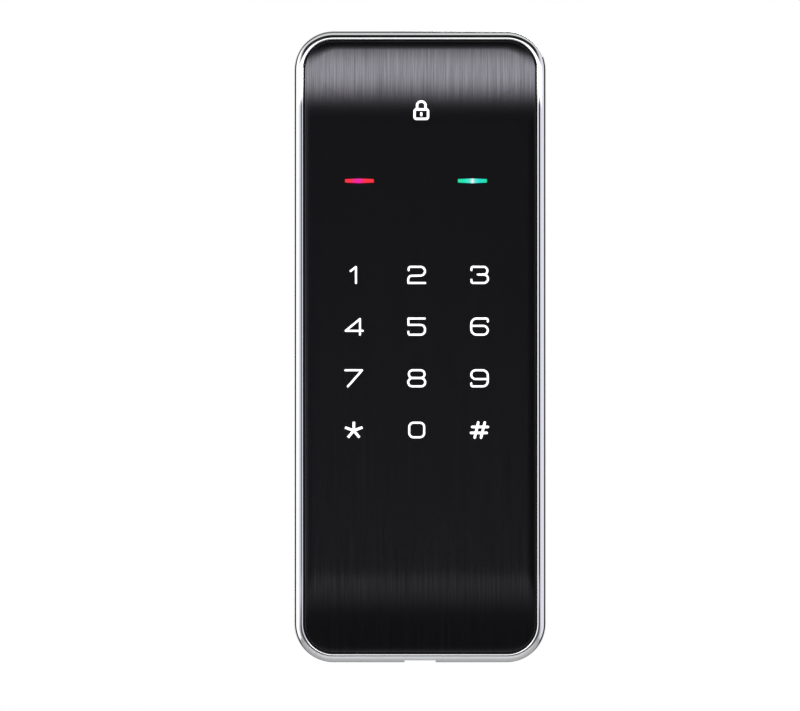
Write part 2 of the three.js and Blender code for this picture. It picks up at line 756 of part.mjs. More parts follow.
/** Battery cover: slides straight up and off. A shallow scoop near its foot takes a thumb. */
function batteryCover() {
  const skin = cut(coverSkin(), below(coverSplit + seamGap));
  const [gripRadius, gripLength, gripDepth, gripAbove] = [16, 22, 1, 9];
  const grip = new THREE.CylinderGeometry(gripRadius, gripRadius, gripLength, 32).rotateZ(Math.PI / 2);
  return cut(skin, solid(grip.translate(0, insideFace + gripRadius - gripDepth, coverSplit + gripAbove)));
}

// ---- Inside unit: gear train ----

/** Outline of a spur gear with involute flanks, one tooth centred at the angle phase. */
function gearShape(teeth, phase, boreRadius = 0, centre = [0, 0]) {
  const pitch = pitchRadius(teeth);
  const base = pitch * Math.cos(pressureAngle);
  const tip = pitch + 0.9 * gearModule;
  const root = pitch - 1.2 * gearModule;
  const involute = (r) => {
    const t = Math.sqrt(Math.max(0, (r / base) ** 2 - 1));
    return t - Math.atan(t);
  };
  const half = (r) =>
    Math.PI / (2 * teeth) - toothThinning / (2 * pitch) + involute(pitch) - involute(r);
  const points = [];
  for (let k = 0; k < teeth; k++) {
    const middle = phase + (2 * Math.PI * k) / teeth;
    for (const r of [root, pitch, tip]) points.push(along(centre, middle - half(r), r));
    for (const r of [tip, pitch, root]) points.push(along(centre, middle + half(r), r));
  }
  const shape = new THREE.Shape(points.map(([x, z]) => new THREE.Vector2(x, z)));
  if (boreRadius) {
    const bore = new THREE.Path();
    bore.absarc(centre[0], centre[1], boreRadius, 0, 2 * Math.PI);
    shape.holes.push(bore);
  }
  return shape;
}

const axleRadius = 1.5;
const mainPhase = reductionDirection;
const reductionPinionPhase = reductionDirection + Math.PI + Math.PI / reductionPinionTeeth;
const reductionWheelPhase = motorDirection;
const motorPhase = motorDirection + Math.PI + Math.PI / motorTeeth;

/** Gear on the spindle's hub, lightened by five round windows. */
function mainGear() {
  const web = gearShape(mainTeeth, mainPhase, hubRadius + clear);
  const [count, radius, fromAxis] = [5, 2.6, 12];
  const windows = Array.from({ length: count }, (_, k) => {
    const centre = along([0, 0], (2 * Math.PI * k) / count, fromAxis);
    return bar(radius, gearDoor - beyond, gearDoor + gearThickness + beyond, ...centre, 16);
  });
  return cut(prism(web, gearDoor, gearDoor + gearThickness, 12), ...windows);
}

/** Reduction gear: a small pinion that meets the main gear, under a wheel that meets the motor's. */
function reductionGear() {
  const [x, z] = reductionAt;
  const pinion = gearShape(reductionPinionTeeth, reductionPinionPhase, 0, reductionAt);
  const wheel = gearShape(reductionWheelTeeth, reductionWheelPhase, 0, reductionAt);
  return cut(
    join(
      prism(pinion, gearDoor, wheelDoor + sunk),
      prism(wheel, wheelDoor, wheelDoor + wheelThickness),
    ),
    bar(axleRadius + running, gearDoor - 1, wheelDoor + wheelThickness + 1, x, z),
  );
}

function reductionAxle() {
  const [x, z] = reductionAt;
  return join(
    bar(axleRadius, floorBack + clear, gearPlateDoor - clear, x, z),
    bar(axleRadius + 1.5, floorBack + clear, gearDoor - clear, x, z),
  );
}

const shaftRadius = 1; // of the motor

function motorPinion() {
  const teeth = gearShape(motorTeeth, motorPhase, 0, motorAt);
  const shaft = bar(shaftRadius, wheelDoor, gearPlateBack + 3, ...motorAt, 16);
  return join(prism(teeth, wheelDoor, wheelDoor + wheelThickness), shaft);
}

/** Small motor: a round can with two flats, and two terminals at its far end. */
function driveMotor() {
  const [x, z] = motorAt;
  const door = gearPlateBack + clear;
  const back = coverInner - 1.2;
  const round = bar(motorWidth / 2, door, back, x, z, 28);
  const can = round.intersect(
    block(x - motorWidth / 2, x + motorWidth / 2, door, back, z - motorHeight / 2, z + motorHeight / 2));
  const terminals = [-1, 1].map((s) =>
    block(x + s * 3 - 0.8, x + s * 3 + 0.8, back - 1, back + 0.8, z - 0.25, z + 0.25));
  return cut(join(can, ...terminals), bar(shaftRadius + clear, door - 1, door + 4, x, z, 16));
}

/** Plate on three legs that holds the gears down and carries the motor. */
function gearPlate() {
  const feet = [[-23, -17], [23, -17], [-2, 43]];
  const [mx, mz] = motorAt;
  const top = mz + motorHeight / 2 + 5.6;
  const right = insideWidth / 2 - chassisInset - chassisWall - 1.3;
  const [left, bottom] = [-right, -21];
  const corners = [[left, bottom], [right, bottom], [right, -8], [10, 20], [4, top], [left, top]];
  const outline = new THREE.Shape(corners.map(([x, z]) => new THREE.Vector2(x, z)));
  const legs = feet.map(([x, z]) => bar(2.4, floorBack + clear, gearPlateDoor + 0.5, x, z, 16));
  return cut(
    join(prism(outline, gearPlateDoor, gearPlateBack), ...legs),
    bar(hubRadius + clear, gearPlateDoor - 1, gearPlateBack + 1, 0, 0, 32),
    bar(2.2, gearPlateDoor - 1, gearPlateBack + 1, mx, mz, 20),
    bar(5, gearPlateDoor - 1, gearPlateBack + 1, 15, -2, 20),
    bar(5, gearPlateDoor - 1, gearPlateBack + 1, -15, -2, 20),
  );
}

// ---- Spindle and thumbturn ----
const hubDoor = floorDoor;
const thumbDoor = insideFace + 0.6;
const slotDepth = gearDoor + 6; // how far into the hub the tailpiece reaches
const driveSize = [5, 9]; // the hub's flat-sided end, which turns the thumbturn
const driveReach = 7; // how far it reaches into the thumbturn

function spindleHub() {
  const collar = hubRadius + 2.4;
  const body = turned([
    [0, hubDoor],
    [hubRadius, hubDoor],
    [hubRadius, floorBack + clear],
    [collar, floorBack + clear],
    [collar, gearDoor - clear],
    [hubRadius, gearDoor - clear],
    [hubRadius, insideFace],
    [0, insideFace],
  ], 32);
  const [driveWide, driveHigh] = driveSize;
  const drive = block(
    -driveWide / 2, driveWide / 2, insideFace - 1, thumbDoor + driveReach,
    -driveHigh / 2, driveHigh / 2,
  );
  const slot = block(
    -tailpieceThickness / 2 - clear, tailpieceThickness / 2 + clear, hubDoor - 1, slotDepth + clear,
    -tailpieceWidth / 2 - clear, tailpieceWidth / 2 + clear,
  );
  return cut(join(body, drive), slot);
}

/** Flat blade that reaches through the deadbolt's hub. */
function tailpiece() {
  const [w, t] = [tailpieceWidth / 2, tailpieceThickness / 2];
  const tip = 6;
  const profile = new THREE.Shape();
  profile.moveTo(tip, -w + 1.5);
  profile.lineTo(tip + 2.5, -w);
  profile.lineTo(slotDepth, -w);
  profile.lineTo(slotDepth, w);
  profile.lineTo(tip + 2.5, w);
  profile.lineTo(tip, w - 1.5);
  const blade = new THREE.ExtrudeGeometry(profile, { depth: 2 * t, bevelEnabled: false });
  blade.translate(0, 0, -t);
  blade.applyMatrix4(
    new THREE.Matrix4().makeBasis(
      new THREE.Vector3(0, 1, 0), new THREE.Vector3(0, 0, 1), new THREE.Vector3(1, 0, 0),
    ),
  );
  return solid(blade);
}

function thumbturnBush() {
  const bore = hubRadius + running;
  return solid(
    new THREE.LatheGeometry(
      [
        [bore, coverInner - 1.5],
        [bushRadius, coverInner - 1.5],
        [bushRadius, insideFace + clear],
        [bore, insideFace + clear],
        [bore, coverInner - 1.5],
      ].map(([r, y]) => new THREE.Vector2(r, y)),
      32,
    ),
  );
}

const thumbDiscRadius = 17;
const thumbLength = 33;
const thumbWidth = 9;
const thumbHeight = 15;

function thumbturn() {
  const disc = turned([
    [0, thumbDoor],
    [thumbDiscRadius - 0.6, thumbDoor],
    [thumbDiscRadius, thumbDoor + 0.8],
    [thumbDiscRadius - 0.6, thumbDoor + 2.2],
    [thumbDiscRadius - 3, thumbDoor + 3],
    [0, thumbDoor + 3.4],
  ], 36);
  const grip = {
    width: thumbWidth,
    height: thumbLength,
    radius: thumbWidth / 2 - 0.1,
    middle: 0,
  };
  const lever = shell(grip, [
    [0, thumbDoor + 2],
    [0.7, thumbDoor + 8],
    [0.8, thumbDoor + thumbHeight - 1.6],
    [1.4, thumbDoor + thumbHeight - 0.4],
    [2.4, thumbDoor + thumbHeight],
  ]);
  const socket = block(
    -driveSize[0] / 2 - clear, driveSize[0] / 2 + clear, thumbDoor - 1, thumbDoor + driveReach + clear,
    -driveSize[1] / 2 - clear, driveSize[1] / 2 + clear,
  );
  return cut(join(disc, lever), socket);
}

// ---- Inside unit: electrics ----
const mainBoardDoor = floorBack + 2.2;
const cablePlugZ = trayBottom + 3;
const cablePlugX = 14;

/** Control board, on four feet, under the battery tray. */
function mainBoard() {
  const back = mainBoardDoor + boardThickness;
  const [bottom, top] = [trayBottom + 1.5, insideTop - 6.5];
  const width = insideWidth - 13;
  const outline = roundedRect(width, top - bottom, 2, 0, (top + bottom) / 2);
  const onBoard = (x0, x1, z0, z1, tall) =>
    block(x0, x1, back - sunk, back + tall, bottom + z0, bottom + z1);
  const parts = [
    onBoard(-20, -6, 35, 51, 2.6),
    onBoard(-2, 8, 20, 30, 1.4),
    onBoard(14, 20, 29, 35, 5),
    onBoard(-19, -13, 8, 14, 5),
    onBoard(-8, -2, 6, 10, 1.2),
  ];
  const feet = [-1, 1].flatMap((s) => [bottom + 5, top - 4].map((z) =>
    bar(1.8, floorBack + clear, mainBoardDoor + sunk, s * (width / 2 - 4.5), z, 12)));
  return join(prism(outline, mainBoardDoor, back), ...parts, ...feet);
}

/** Cable plug: seated on the board's face, the cable enters it from -Z or from +Y. */
function cablePlugInside() {
  const [w, d, h] = plugSize;
  const door = mainBoardDoor + boardThickness + clear;
  return block(cablePlugX - w / 2, cablePlugX + w / 2, door, door + d, cablePlugZ, cablePlugZ + h);
}

function cablePlugOutside() {
  const [w, d, h] = plugSize;
  const front = boardBack + plugSeat + clear;
  return block(cableX - w / 2, cableX + w / 2, front, front + d, cableZ - h / 2, cableZ + h / 2);
}

function linkingCable() {
  const start = boardBack + plugSeat + clear + plugSize[1] + clear;
  const end = cablePlugZ - clear;
  const runY = mainBoardDoor + boardThickness + clear + plugSize[1] / 2;
  const points = [
    [cableX, start, cableZ],
    [cableX, 0, cableZ],
    [cableX, doorThickness - 24.5, cableZ],
    [cableX, doorThickness - 8.5, cableZ],
    [cableX, doorThickness + 1, cableZ],
    [cableX + 0.6, doorThickness + 6.5, cableZ + 3],
    [cableX + 2.6, runY - 0.5, cableZ + 10],
    [cablePlugX - 1, runY, cablePlugZ - 18],
    [cablePlugX, runY, cablePlugZ - 8],
    [cablePlugX, runY, end],
  ];
  return tube(points, cableRadius, 24, 4);
}

/** The batteries' holder: two end walls for the contacts, and ribs between the cells. */
function batteryTray() {
  const half = (cellCount * cellPitch) / 2 + clear;
  const floor = block(-half, half, trayDoor, trayFloor, trayBottom, trayTop);
  const wallTop = cellY + 3;
  const ends = [
    block(-half, half, trayDoor, wallTop, trayBottom, trayBottom + trayWall),
    block(-half, half, trayDoor, wallTop, trayTop - trayWall, trayTop),
  ];
  const [ribHalf, ribHeight] = [1.1, 2.6];
  const ribs = cellXs.slice(1).map((x) => {
    const middle = x - cellPitch / 2;
    return block(
      middle - ribHalf, middle + ribHalf, trayDoor, trayFloor + ribHeight, trayBottom, trayTop,
    );
  });
  const vents = cellXs.map((x) =>
    block(x - 2.5, x + 2.5, trayDoor - 1, trayFloor + 1, cellMiddle - 16, cellMiddle + 16));
  return cut(join(floor, ...ends, ...ribs), ...vents);
}

const plusUp = (i) => i % 2 === 0;
const nubLength = 1.2;
const nubRadius = 2.7;
const contactThickness = 0.4;
const springWire = 0.35; // radius of the springs' wire
const nubReach = (trayTop - trayBottom) / 2 - trayWall - 2 * clear - 2 * contactThickness;
const cellFoot = (i) => cellMiddle + (plusUp(i) ? 1 : -1) * (nubReach - cellLength);

/** A cell: its jacket and the nub of its plus end, which points up or down. */
function cell(i) {
  const way = plusUp(i) ? 1 : -1;
  const length = cellLength - nubLength;
  const foot = cellFoot(i);
  const shoulder = foot + way * length;
  const tip = shoulder + way * nubLength;
  const span = (a, b) => [Math.min(a, b), Math.max(a, b)];
  return join(
    upright(cellRadius, ...span(foot, shoulder), cellXs[i], cellY, 24),
    upright(nubRadius, ...span(shoulder - way * sunk, tip), cellXs[i], cellY, 12),
  );
}

/** A spring contact between a plate and a cell's flat foot: a cone of wire, wound by a loop. */
function cellSpring(i) {
  const way = plusUp(i) ? 1 : -1;
  const turns = 1.75;
  const perTurn = 8;
  const [wide, narrow] = [4.4, 2.4];
  const wall = plusUp(i) ? trayBottom + trayWall + clear : trayTop - trayWall - clear;
  const from = wall + way * contactThickness * 0.5;
  const to = cellFoot(i) - way * (springWire + clear);
  const points = [];
  for (let k = 0; k <= turns * perTurn; k++) {
    const share = k / (turns * perTurn);
    const angle = 2 * Math.PI * turns * share;
    const r = wide + (narrow - wide) * share;
    points.push([
      cellXs[i] + r * Math.cos(angle), cellY + r * Math.sin(angle), from + (to - from) * share,
    ]);
  }
  return tube(points, springWire, turns * perTurn, 3);
}

/** A contact plate at the top or the bottom end, across the listed cells. */
function contact(atTop, cells) {
  const inner = atTop ? trayTop - trayWall - clear : trayBottom + trayWall + clear;
  const depth = atTop ? -contactThickness : contactThickness;
  const xs = cells.map((i) => cellXs[i]);
  const span = (a, b) => [Math.min(a, b), Math.max(a, b)];
  const plate = block(
    Math.min(...xs) - 5, Math.max(...xs) + 5, trayFloor + 2.9, cellY + 3.5,
    ...span(inner, inner + depth),
  );
  const springs = cells.filter((i) => plusUp(i) !== atTop).map(cellSpring);
  const buttons = cells.filter((i) => plusUp(i) === atTop).map((i) =>
    upright(2.2, ...span(inner + depth * 0.5, inner + depth * 2), cellXs[i], cellY, 16));
  return join(plate, ...springs, ...buttons);
}

// ---- Privacy button ----
const buttonTravel = 0.8;
const switchHeight = 1.1;
const lampHeight = 0.9;

/** Small board with the button's switch and the lens's lamp. */
function buttonBoard() {
  const back = buttonBoardDoor + boardThickness;
  const board = prism(roundedRect(19, 15, 1.5, 0, buttonZ + 3), buttonBoardDoor, back);
  const press = block(-2.6, 2.6, back - sunk, back + switchHeight, buttonZ - 2.6, buttonZ + 2.6);
  const lamp = block(-1, 1, back - sunk, back + lampHeight, lensZ - 0.8, lensZ + 0.8);
  return join(board, press, lamp);
}

/** Button: a cap above a flange that keeps it in the cover, and a stem towards its switch. */
function privacyButton() {
  const stemRadius = 1.4;
  const stemEnd = buttonBoardDoor + boardThickness + switchHeight + buttonTravel + 0.2;
  const flange = coverInner - clear;
  const top = insideFace + 1.3;
  return turned([
    [0, stemEnd],
    [stemRadius, stemEnd],
    [stemRadius, flange - buttonStep],
    [buttonRadius + buttonStep, flange - buttonStep],
    [buttonRadius + buttonStep, flange],
    [buttonRadius, flange],
    [buttonRadius, top - 0.4],
    [buttonRadius - 0.5, top],
    [0, top],
  ], 28).translate([0, 0, buttonZ]);
}

/** Light pipe between the button board's lamp and the cover's face. */
function statusLens() {
  const foot = buttonBoardDoor + boardThickness + lampHeight + clear;
  return bar(lensRadius, foot, insideFace + 0.2, 0, lensZ, 20);
}

// ---- The assembly ----
add("chrome_frame", chromeFrame(), chrome);
add("front_panel", frontPanel(), panelBlack);
add("panel_seal", panelSeal(), rubber);
add("light_bar_red", lightBar(lightBarXs[0]), redLight);
add("light_bar_green", lightBar(lightBarXs[1]), greenLight);
add("light_guide", lightGuide(), whitePlastic);
add("touch_board", touchBoard(), boardGreen);
add("buzzer", buzzer(), blackPlastic);
add("power_port", powerPort(), steel);
add("outside_housing", outsideHousing(), chrome);
add("back_plate", backPlate(), steel);
cornerScrews.forEach(([x, z], i) => {
  const head = rimY + clear + screwHead;
  add(`back_plate_screw_${i + 1}`, panScrew(x, z, head, boardBack + 5, housingScrewRadius), steel);
});
add("door_pad", doorPad(), rubber);
sides.forEach((side, i) => add(`bolt_post_${side}`, boltPost(boltXs[i]), steel));
add("cable_grommet", cableGrommet(), rubber);
add("cable_plug_outside", cablePlugOutside(), whitePlastic);
add("linking_cable", linkingCable(), blackPlastic);
add("cable_plug_inside", cablePlugInside(), whitePlastic);

add("inside_plate", insidePlate(), steel);
sides.forEach((side, i) => add(`through_bolt_${side}`, throughBolt(boltXs[i]), steel));
add("inside_chassis", insideChassis(), greyPlastic);
chassisScrews.forEach(([x, z], i) => {
  const head = floorBack + clear + screwHead;
  add(`chassis_screw_${i + 1}`, panScrew(x, z, head, doorThickness + 0.2), steel);
});
add("main_board", mainBoard(), boardGreen);
add("main_gear", mainGear(), gearPlastic);
add("reduction_gear", reductionGear(), gearPlastic);
add("reduction_axle", reductionAxle(), steel);
add("motor_pinion", motorPinion(), brass);
add("drive_motor", driveMotor(), steel);
add("gear_plate", gearPlate(), steel);
add("spindle_hub", spindleHub(), steel);
add("tailpiece", tailpiece(), steel);
add("thumbturn_bush", thumbturnBush(), whitePlastic);
add("thumbturn", thumbturn(), chrome);
add("lower_cover", lowerCover(), blackPlastic);
coverScrewAt.forEach(([x, z], i) => {
  const head = trayDoor + tabThickness + clear + screwHead;
  add(`cover_screw_${sides[i]}`, panScrew(x, z, head, trayDoor - 8, housingScrewRadius), steel);
});
add("button_board", buttonBoard(), boardGreen);
add("privacy_button", privacyButton(), chrome);
add("status_lens", statusLens(), whitePlastic);
add("battery_tray", batteryTray(), blackPlastic);
cellXs.forEach((_, i) => add(`battery_${i + 1}`, cell(i), cellJacket));
add("contact_top_plus", contact(true, [0]), steel);
add("contact_top_middle", contact(true, [1, 2]), steel);
add("contact_top_minus", contact(true, [3]), steel);
add("contact_bottom_left", contact(false, [0, 1]), steel);
add("contact_bottom_right", contact(false, [2, 3]), steel);
add("battery_cover", batteryCover(), blackPlastic);

export default lock;
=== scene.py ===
"""Keypad smart lock: the finished surfaces of its two units, and a plain white studio.

+Z is up, -Y is outdoors, and the origin is the spindle at the door's outer face. Lengths are in
millimetres up to the point where a mesh, a light or the camera is made. Those and the shaders are in
metres.
"""

import json
import math

import bmesh
import bpy
import numpy as np
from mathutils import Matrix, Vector


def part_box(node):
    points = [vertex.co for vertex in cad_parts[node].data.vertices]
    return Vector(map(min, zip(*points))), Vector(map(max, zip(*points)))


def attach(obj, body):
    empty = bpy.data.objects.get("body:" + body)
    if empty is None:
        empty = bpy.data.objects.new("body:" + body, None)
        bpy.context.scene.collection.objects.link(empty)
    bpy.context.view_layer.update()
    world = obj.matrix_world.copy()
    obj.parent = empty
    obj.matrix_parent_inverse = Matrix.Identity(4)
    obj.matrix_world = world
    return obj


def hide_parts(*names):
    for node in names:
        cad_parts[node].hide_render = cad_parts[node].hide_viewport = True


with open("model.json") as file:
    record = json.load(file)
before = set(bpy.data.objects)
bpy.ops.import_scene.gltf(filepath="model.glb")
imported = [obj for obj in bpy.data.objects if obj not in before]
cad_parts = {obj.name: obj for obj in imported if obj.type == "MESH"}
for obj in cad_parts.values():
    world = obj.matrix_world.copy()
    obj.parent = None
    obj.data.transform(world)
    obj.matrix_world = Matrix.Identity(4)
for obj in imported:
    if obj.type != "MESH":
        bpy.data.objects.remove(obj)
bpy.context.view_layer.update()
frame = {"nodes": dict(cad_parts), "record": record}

MM = 0.001


# ---- Sizes, read from the frame ----
def span(node):
    """Lowest and highest corner of a CAD node, as two arrays."""
    low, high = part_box(node)
    return np.array(low) / MM, np.array(high) / MM


def measure(node):
    """A CAD node's lowest and highest corner, its middle in x and z, and half its width."""
    low, high = span(node)
    return low, high, ((low + high) / 2)[[0, 2]], (high[0] - low[0]) / 2


frame_low, frame_high = span("chrome_frame")
housing_low, housing_high = span("outside_housing")
panel_low, panel_high = span("front_panel")
cover_low, cover_high = span("lower_cover")
top_cover_low, top_cover_high = span("battery_cover")

UNIT_MIDDLE = (housing_low[2] + housing_high[2]) / 2
UNIT_WIDTH = housing_high[0] - housing_low[0]
UNIT_HEIGHT = housing_high[2] - housing_low[2]
CORNER_RADIUS = 10.4
HOUSING_DRAFT = frame_low[0] - housing_low[0]
CROWN_Y = frame_low[1] - 0.05  # the crown line of the chrome frame
END_LENGTH = 24  # stretch at each end where the front curves back
END_DROP = 3
END_RADIUS = (END_LENGTH**2 + END_DROP**2) / (2 * END_DROP)
FRAME_WIDTH = 2.1
LIP_WIDTH = 3.35
LIP_FRONT = 3.1
LIP_BACK = 4.6
PANEL_SUNK = 0.4
PANEL_THICKNESS = 1.8
PANEL_FACE_Y = CROWN_Y + PANEL_SUNK
PORT_SCOOP_HALF = 4.05
PORT_SCOOP_Z = frame_low[2] + 0.45

INSIDE_WIDTH = cover_high[0] - cover_low[0]
INSIDE_RADIUS = 10
INSIDE_DOOR_Y = cover_low[1]
INSIDE_FACE_Y = cover_high[1]
COVER_WALL = 2.2
COVER_EDGE = 3.5
SEAM = 0.3
SEAM_LOW_Z = top_cover_low[2] - SEAM
FAR = 200  # past every piece


def crown_y(z):
    """Y of the frame's crown at height z: level along the middle, a circular arc at each end."""
    past = np.clip(np.abs(z - UNIT_MIDDLE) - (UNIT_HEIGHT / 2 - END_LENGTH), 0, END_LENGTH)
    return CROWN_Y + END_RADIUS - np.sqrt(END_RADIUS**2 - past**2)


def behind(depth):
    """A surface that follows the crown, depth behind it."""
    return lambda z: crown_y(z) + depth


# ---- Meshes ----
def put(name, data):
    """A new object in the scene."""
    thing = bpy.data.objects.new(name, data)
    bpy.context.scene.collection.objects.link(thing)
    return thing


def grid_mesh(name, points, wrap_rows=False, wrap_columns=False, crease=35):
    """A smooth mesh from a grid of points (rows, columns, 3), whose ends may join up.

    Points that fall together, at a pole or a closing line, are welded, and faces point outwards."""
    rows, columns = points.shape[:2]
    index = np.arange(rows * columns).reshape(rows, columns)
    if wrap_rows:
        index = np.vstack([index, index[:1]])
    if wrap_columns:
        index = np.hstack([index, index[:, :1]])
    quads = np.stack([index[:-1, :-1], index[1:, :-1], index[1:, 1:], index[:-1, 1:]], axis=-1)
    mesh = bpy.data.meshes.new(name)
    mesh.from_pydata(points.reshape(-1, 3) * MM, [], quads.reshape(-1, 4))
    weld(mesh)
    finish_mesh(mesh, crease)
    return put(name, mesh)


def weld(mesh):
    """Merges points that coincide and turns every face outwards."""
    work = bmesh.new()
    work.from_mesh(mesh)
    bmesh.ops.remove_doubles(work, verts=work.verts, dist=1e-7)
    bmesh.ops.dissolve_degenerate(work, edges=work.edges, dist=1e-8)
    bmesh.ops.recalc_face_normals(work, faces=work.faces)
    work.to_mesh(mesh)
    work.free()


def finish_mesh(mesh, crease):
    """Smooth shading, with edges sharper than crease degrees kept sharp."""
    mesh.polygons.foreach_set("use_smooth", np.ones(len(mesh.polygons), dtype=bool))
    mesh.set_sharp_from_angle(angle=math.radians(crease))
    mesh.update()


def carve(piece, *cutters, how="DIFFERENCE", crease=35):
    """Cuts a piece with others, or joins them to it, and removes them."""
    for cutter in cutters:
        change = piece.modifiers.new("carve", "BOOLEAN")
        change.operation = how
        change.solver = "EXACT"
        change.object = cutter
    graph = bpy.context.evaluated_depsgraph_get()
    made = bpy.data.meshes.new_from_object(piece.evaluated_get(graph))
    made.name = piece.name
    piece.modifiers.clear()
    piece.data = made
    finish_mesh(made, crease)
    for cutter in cutters:
        bpy.data.objects.remove(cutter)
    return piece


def outline(width, height, radius, middle=0.0, across=0.0, corner_steps=14, side_step=3, stops=()):
    """A rounded rectangle in X and Z, walked once round from the lower right corner.

    Each corner is a quarter circle of that radius, and each side a straight run between two corners.
    Returns the stations' x, z and outward normal; stops are extra distances from the middle, in x, for
    the top and bottom sides."""
    half_w, half_h = width / 2 - radius, height / 2 - radius
    centres = np.array([(half_w, -half_h), (half_w, half_h), (-half_w, half_h), (-half_w, -half_h)])
    places, normals = [], []
    for corner, centre in enumerate(centres):
        angle = np.radians(np.linspace(-90, 0, corner_steps + 1) + 90 * corner)
        turn = np.stack([np.cos(angle), np.sin(angle)], axis=-1)
        places.append(centre + radius * turn)
        normals.append(turn)
        run = centres[(corner + 1) % 4] - centre
        length = np.linalg.norm(run)
        share = np.linspace(0, 1, max(2, int(length / side_step) + 1))[1:-1]
        if corner % 2 and len(stops):
            extra = 0.5 + np.array([s for stop in stops for s in (-stop, stop)]) / length
            share = np.sort(np.concatenate([share, extra]))
        places.append(centre + run * share[:, None] + radius * turn[-1])
        normals.append(np.tile(turn[-1], (len(share), 1)))
    x, z = np.concatenate(places).T
    nx, nz = np.concatenate(normals).T
    return {
        "x": x + across, "z": z + middle, "nx": nx, "nz": nz, "middle": middle, "across": across,
        "spine_x": max(0.0, (width - height) / 2), "spine_z": max(0.0, (height - width) / 2),
    }


def level(path, inset, y, pull=0.0):
    """One loop of a rounded outline: moved inwards by inset, then drawn towards the outline's middle
    line by the share pull, at depth y, which is a number or a function of height."""
    x = path["x"] - path["nx"] * inset
    z = path["z"] - path["nz"] * inset
    line_x = path["across"] + np.clip(x - path["across"], -path["spine_x"], path["spine_x"])
    line_z = path["middle"] + np.clip(z - path["middle"], -path["spine_z"], path["spine_z"])
    x = x + (line_x - x) * pull
    z = z + (line_z - z) * pull
    depth = y(z) if callable(y) else np.full_like(z, y)
    return np.stack([x, depth, z], axis=-1)


def ring(name, path, section, crease=35):
    """A closed section carried round an outline: section is a list of (inset, y)."""
    loops = np.stack([level(path, inset, y) for inset, y in section])
    return grid_mesh(name, loops, wrap_rows=True, wrap_columns=True, crease=crease)


def loft(name, path, levels, crease=35, caps=6):
    """A solid between loops of one outline: levels is a list of (inset, y), and each end closes on the
    outline's middle line in a few shrinking loops."""
    shares = np.linspace(0, 1, caps + 1)[1:]
    start = [(*levels[0], share) for share in shares[::-1]]
    end = [(*levels[-1], share) for share in shares]
    loops = [level(path, *entry) for entry in start + [(*entry, 0.0) for entry in levels] + end]
    return grid_mesh(name, np.stack(loops), wrap_columns=True, crease=crease)


def lathe(name, profile, centre, sides=72, crease=35, closed=False):
    """A profile of (radius, y) turned about the line through centre = (x, z), parallel to Y."""
    radius, y = np.array(profile, dtype=float).T
    angle = np.linspace(0, 2 * np.pi, sides, endpoint=False)
    x = centre[0] + np.outer(radius, np.cos(angle))
    z = centre[1] + np.outer(radius, np.sin(angle))
    points = np.stack([x, np.repeat(y[:, None], sides, axis=1), z], axis=-1)
    return grid_mesh(name, points, wrap_rows=closed, wrap_columns=True, crease=crease)


def drill(radius, y0, y1, centre, sides=72):
    """A round rod along Y that a hole is cut with."""
    return lathe("drill", [(0.0, y0), (radius, y0), (radius, y1), (0.0, y1)], centre, sides)


def arc(centre, radius, start, end, steps=6):
    """Points of a circular arc in a section, from angle start to end in degrees."""
    angle = np.radians(np.linspace(start, end, steps + 1))
    return list(zip(centre[0] + radius * np.cos(angle), centre[1] + radius * np.sin(angle)))


def rolled(inset, face, radius, angles):
    """An edge's round as (inset, y) pairs, from its side at 0 degrees to the face at 90. A negative
    radius is for a face that looks to +Y."""
    return [(inset + abs(radius) * (1 - math.cos(a)), face + radius * (1 - math.sin(a)))
            for a in np.radians(angles)]


def box_cutter(x0, x1, y0, y1, z0, z1):
    """A plain box that a piece is cut with or joined to."""
    corners = np.array([(x, y, z) for x in (x0, x1) for y in (y0, y1) for z in (z0, z1)])
    faces = [(0, 1, 3, 2), (4, 6, 7, 5), (0, 4, 5, 1), (2, 3, 7, 6), (0, 2, 6, 4), (1, 5, 7, 3)]
    mesh = bpy.data.meshes.new("cutter")
    mesh.from_pydata(corners * MM, [], faces)
    weld(mesh)
    return put("cutter", mesh)


def smooth_route(points, steps):
    """A Catmull-Rom curve through points, with even steps of its parameter."""
    points = np.array(points, dtype=float)
    padded = np.vstack([2 * points[0] - points[1], points, 2 * points[-1] - points[-2]])
    t = np.linspace(0, len(points) - 1, steps + 1)
    k = np.minimum(t.astype(int), len(points) - 2)
    u = (t - k)[:, None]
    p0, p1, p2, p3 = (padded[k + i] for i in range(4))
    return 0.5 * (
        2 * p1 + (p2 - p0) * u + (2 * p0 - 5 * p1 + 4 * p2 - p3) * u**2
        + (3 * p1 - p0 - 3 * p2 + p3) * u**3
    )


def tube(name, route, radius, sides):
    """A round tube along a route: radius times the circle in the plane square to the route, whose
    ends close with a small dome."""
    tangent = np.gradient(route, axis=0)
    tangent /= np.linalg.norm(tangent, axis=1)[:, None]
    side = np.cross(tangent, (1.0, 0.0, 0.0))
    side /= np.linalg.norm(side, axis=1)[:, None]
    other = np.cross(side, tangent)
    angle = np.linspace(0, 2 * np.pi, sides, endpoint=False)
    circle = np.cos(angle)[:, None] * side[:, None, :] + np.sin(angle)[:, None] * other[:, None, :]
    body = route[:, None, :] + radius * circle
    dome = np.array([0.0, 0.7, 0.95])[:, None, None]
    first = route[0] + radius * dome * circle[0]
    last = route[-1] + radius * dome[::-1] * circle[-1]
    return grid_mesh(name, np.concatenate([first, body, last]), wrap_columns=True, crease=60)


# ---- Shader effects ----
def feed(tree, socket, value):
    """Links a socket to value where that is another socket, and sets it otherwise."""
    if isinstance(value, bpy.types.NodeSocket):
        tree.links.new(value, socket)
    else:
        socket.default_value = value


def feed_all(tree, node, **values):
    """Feeds a node's inputs by name, with _ for a space."""
    for key, value in values.items():
        feed(tree, node.inputs[key.replace("_", " ")], value)


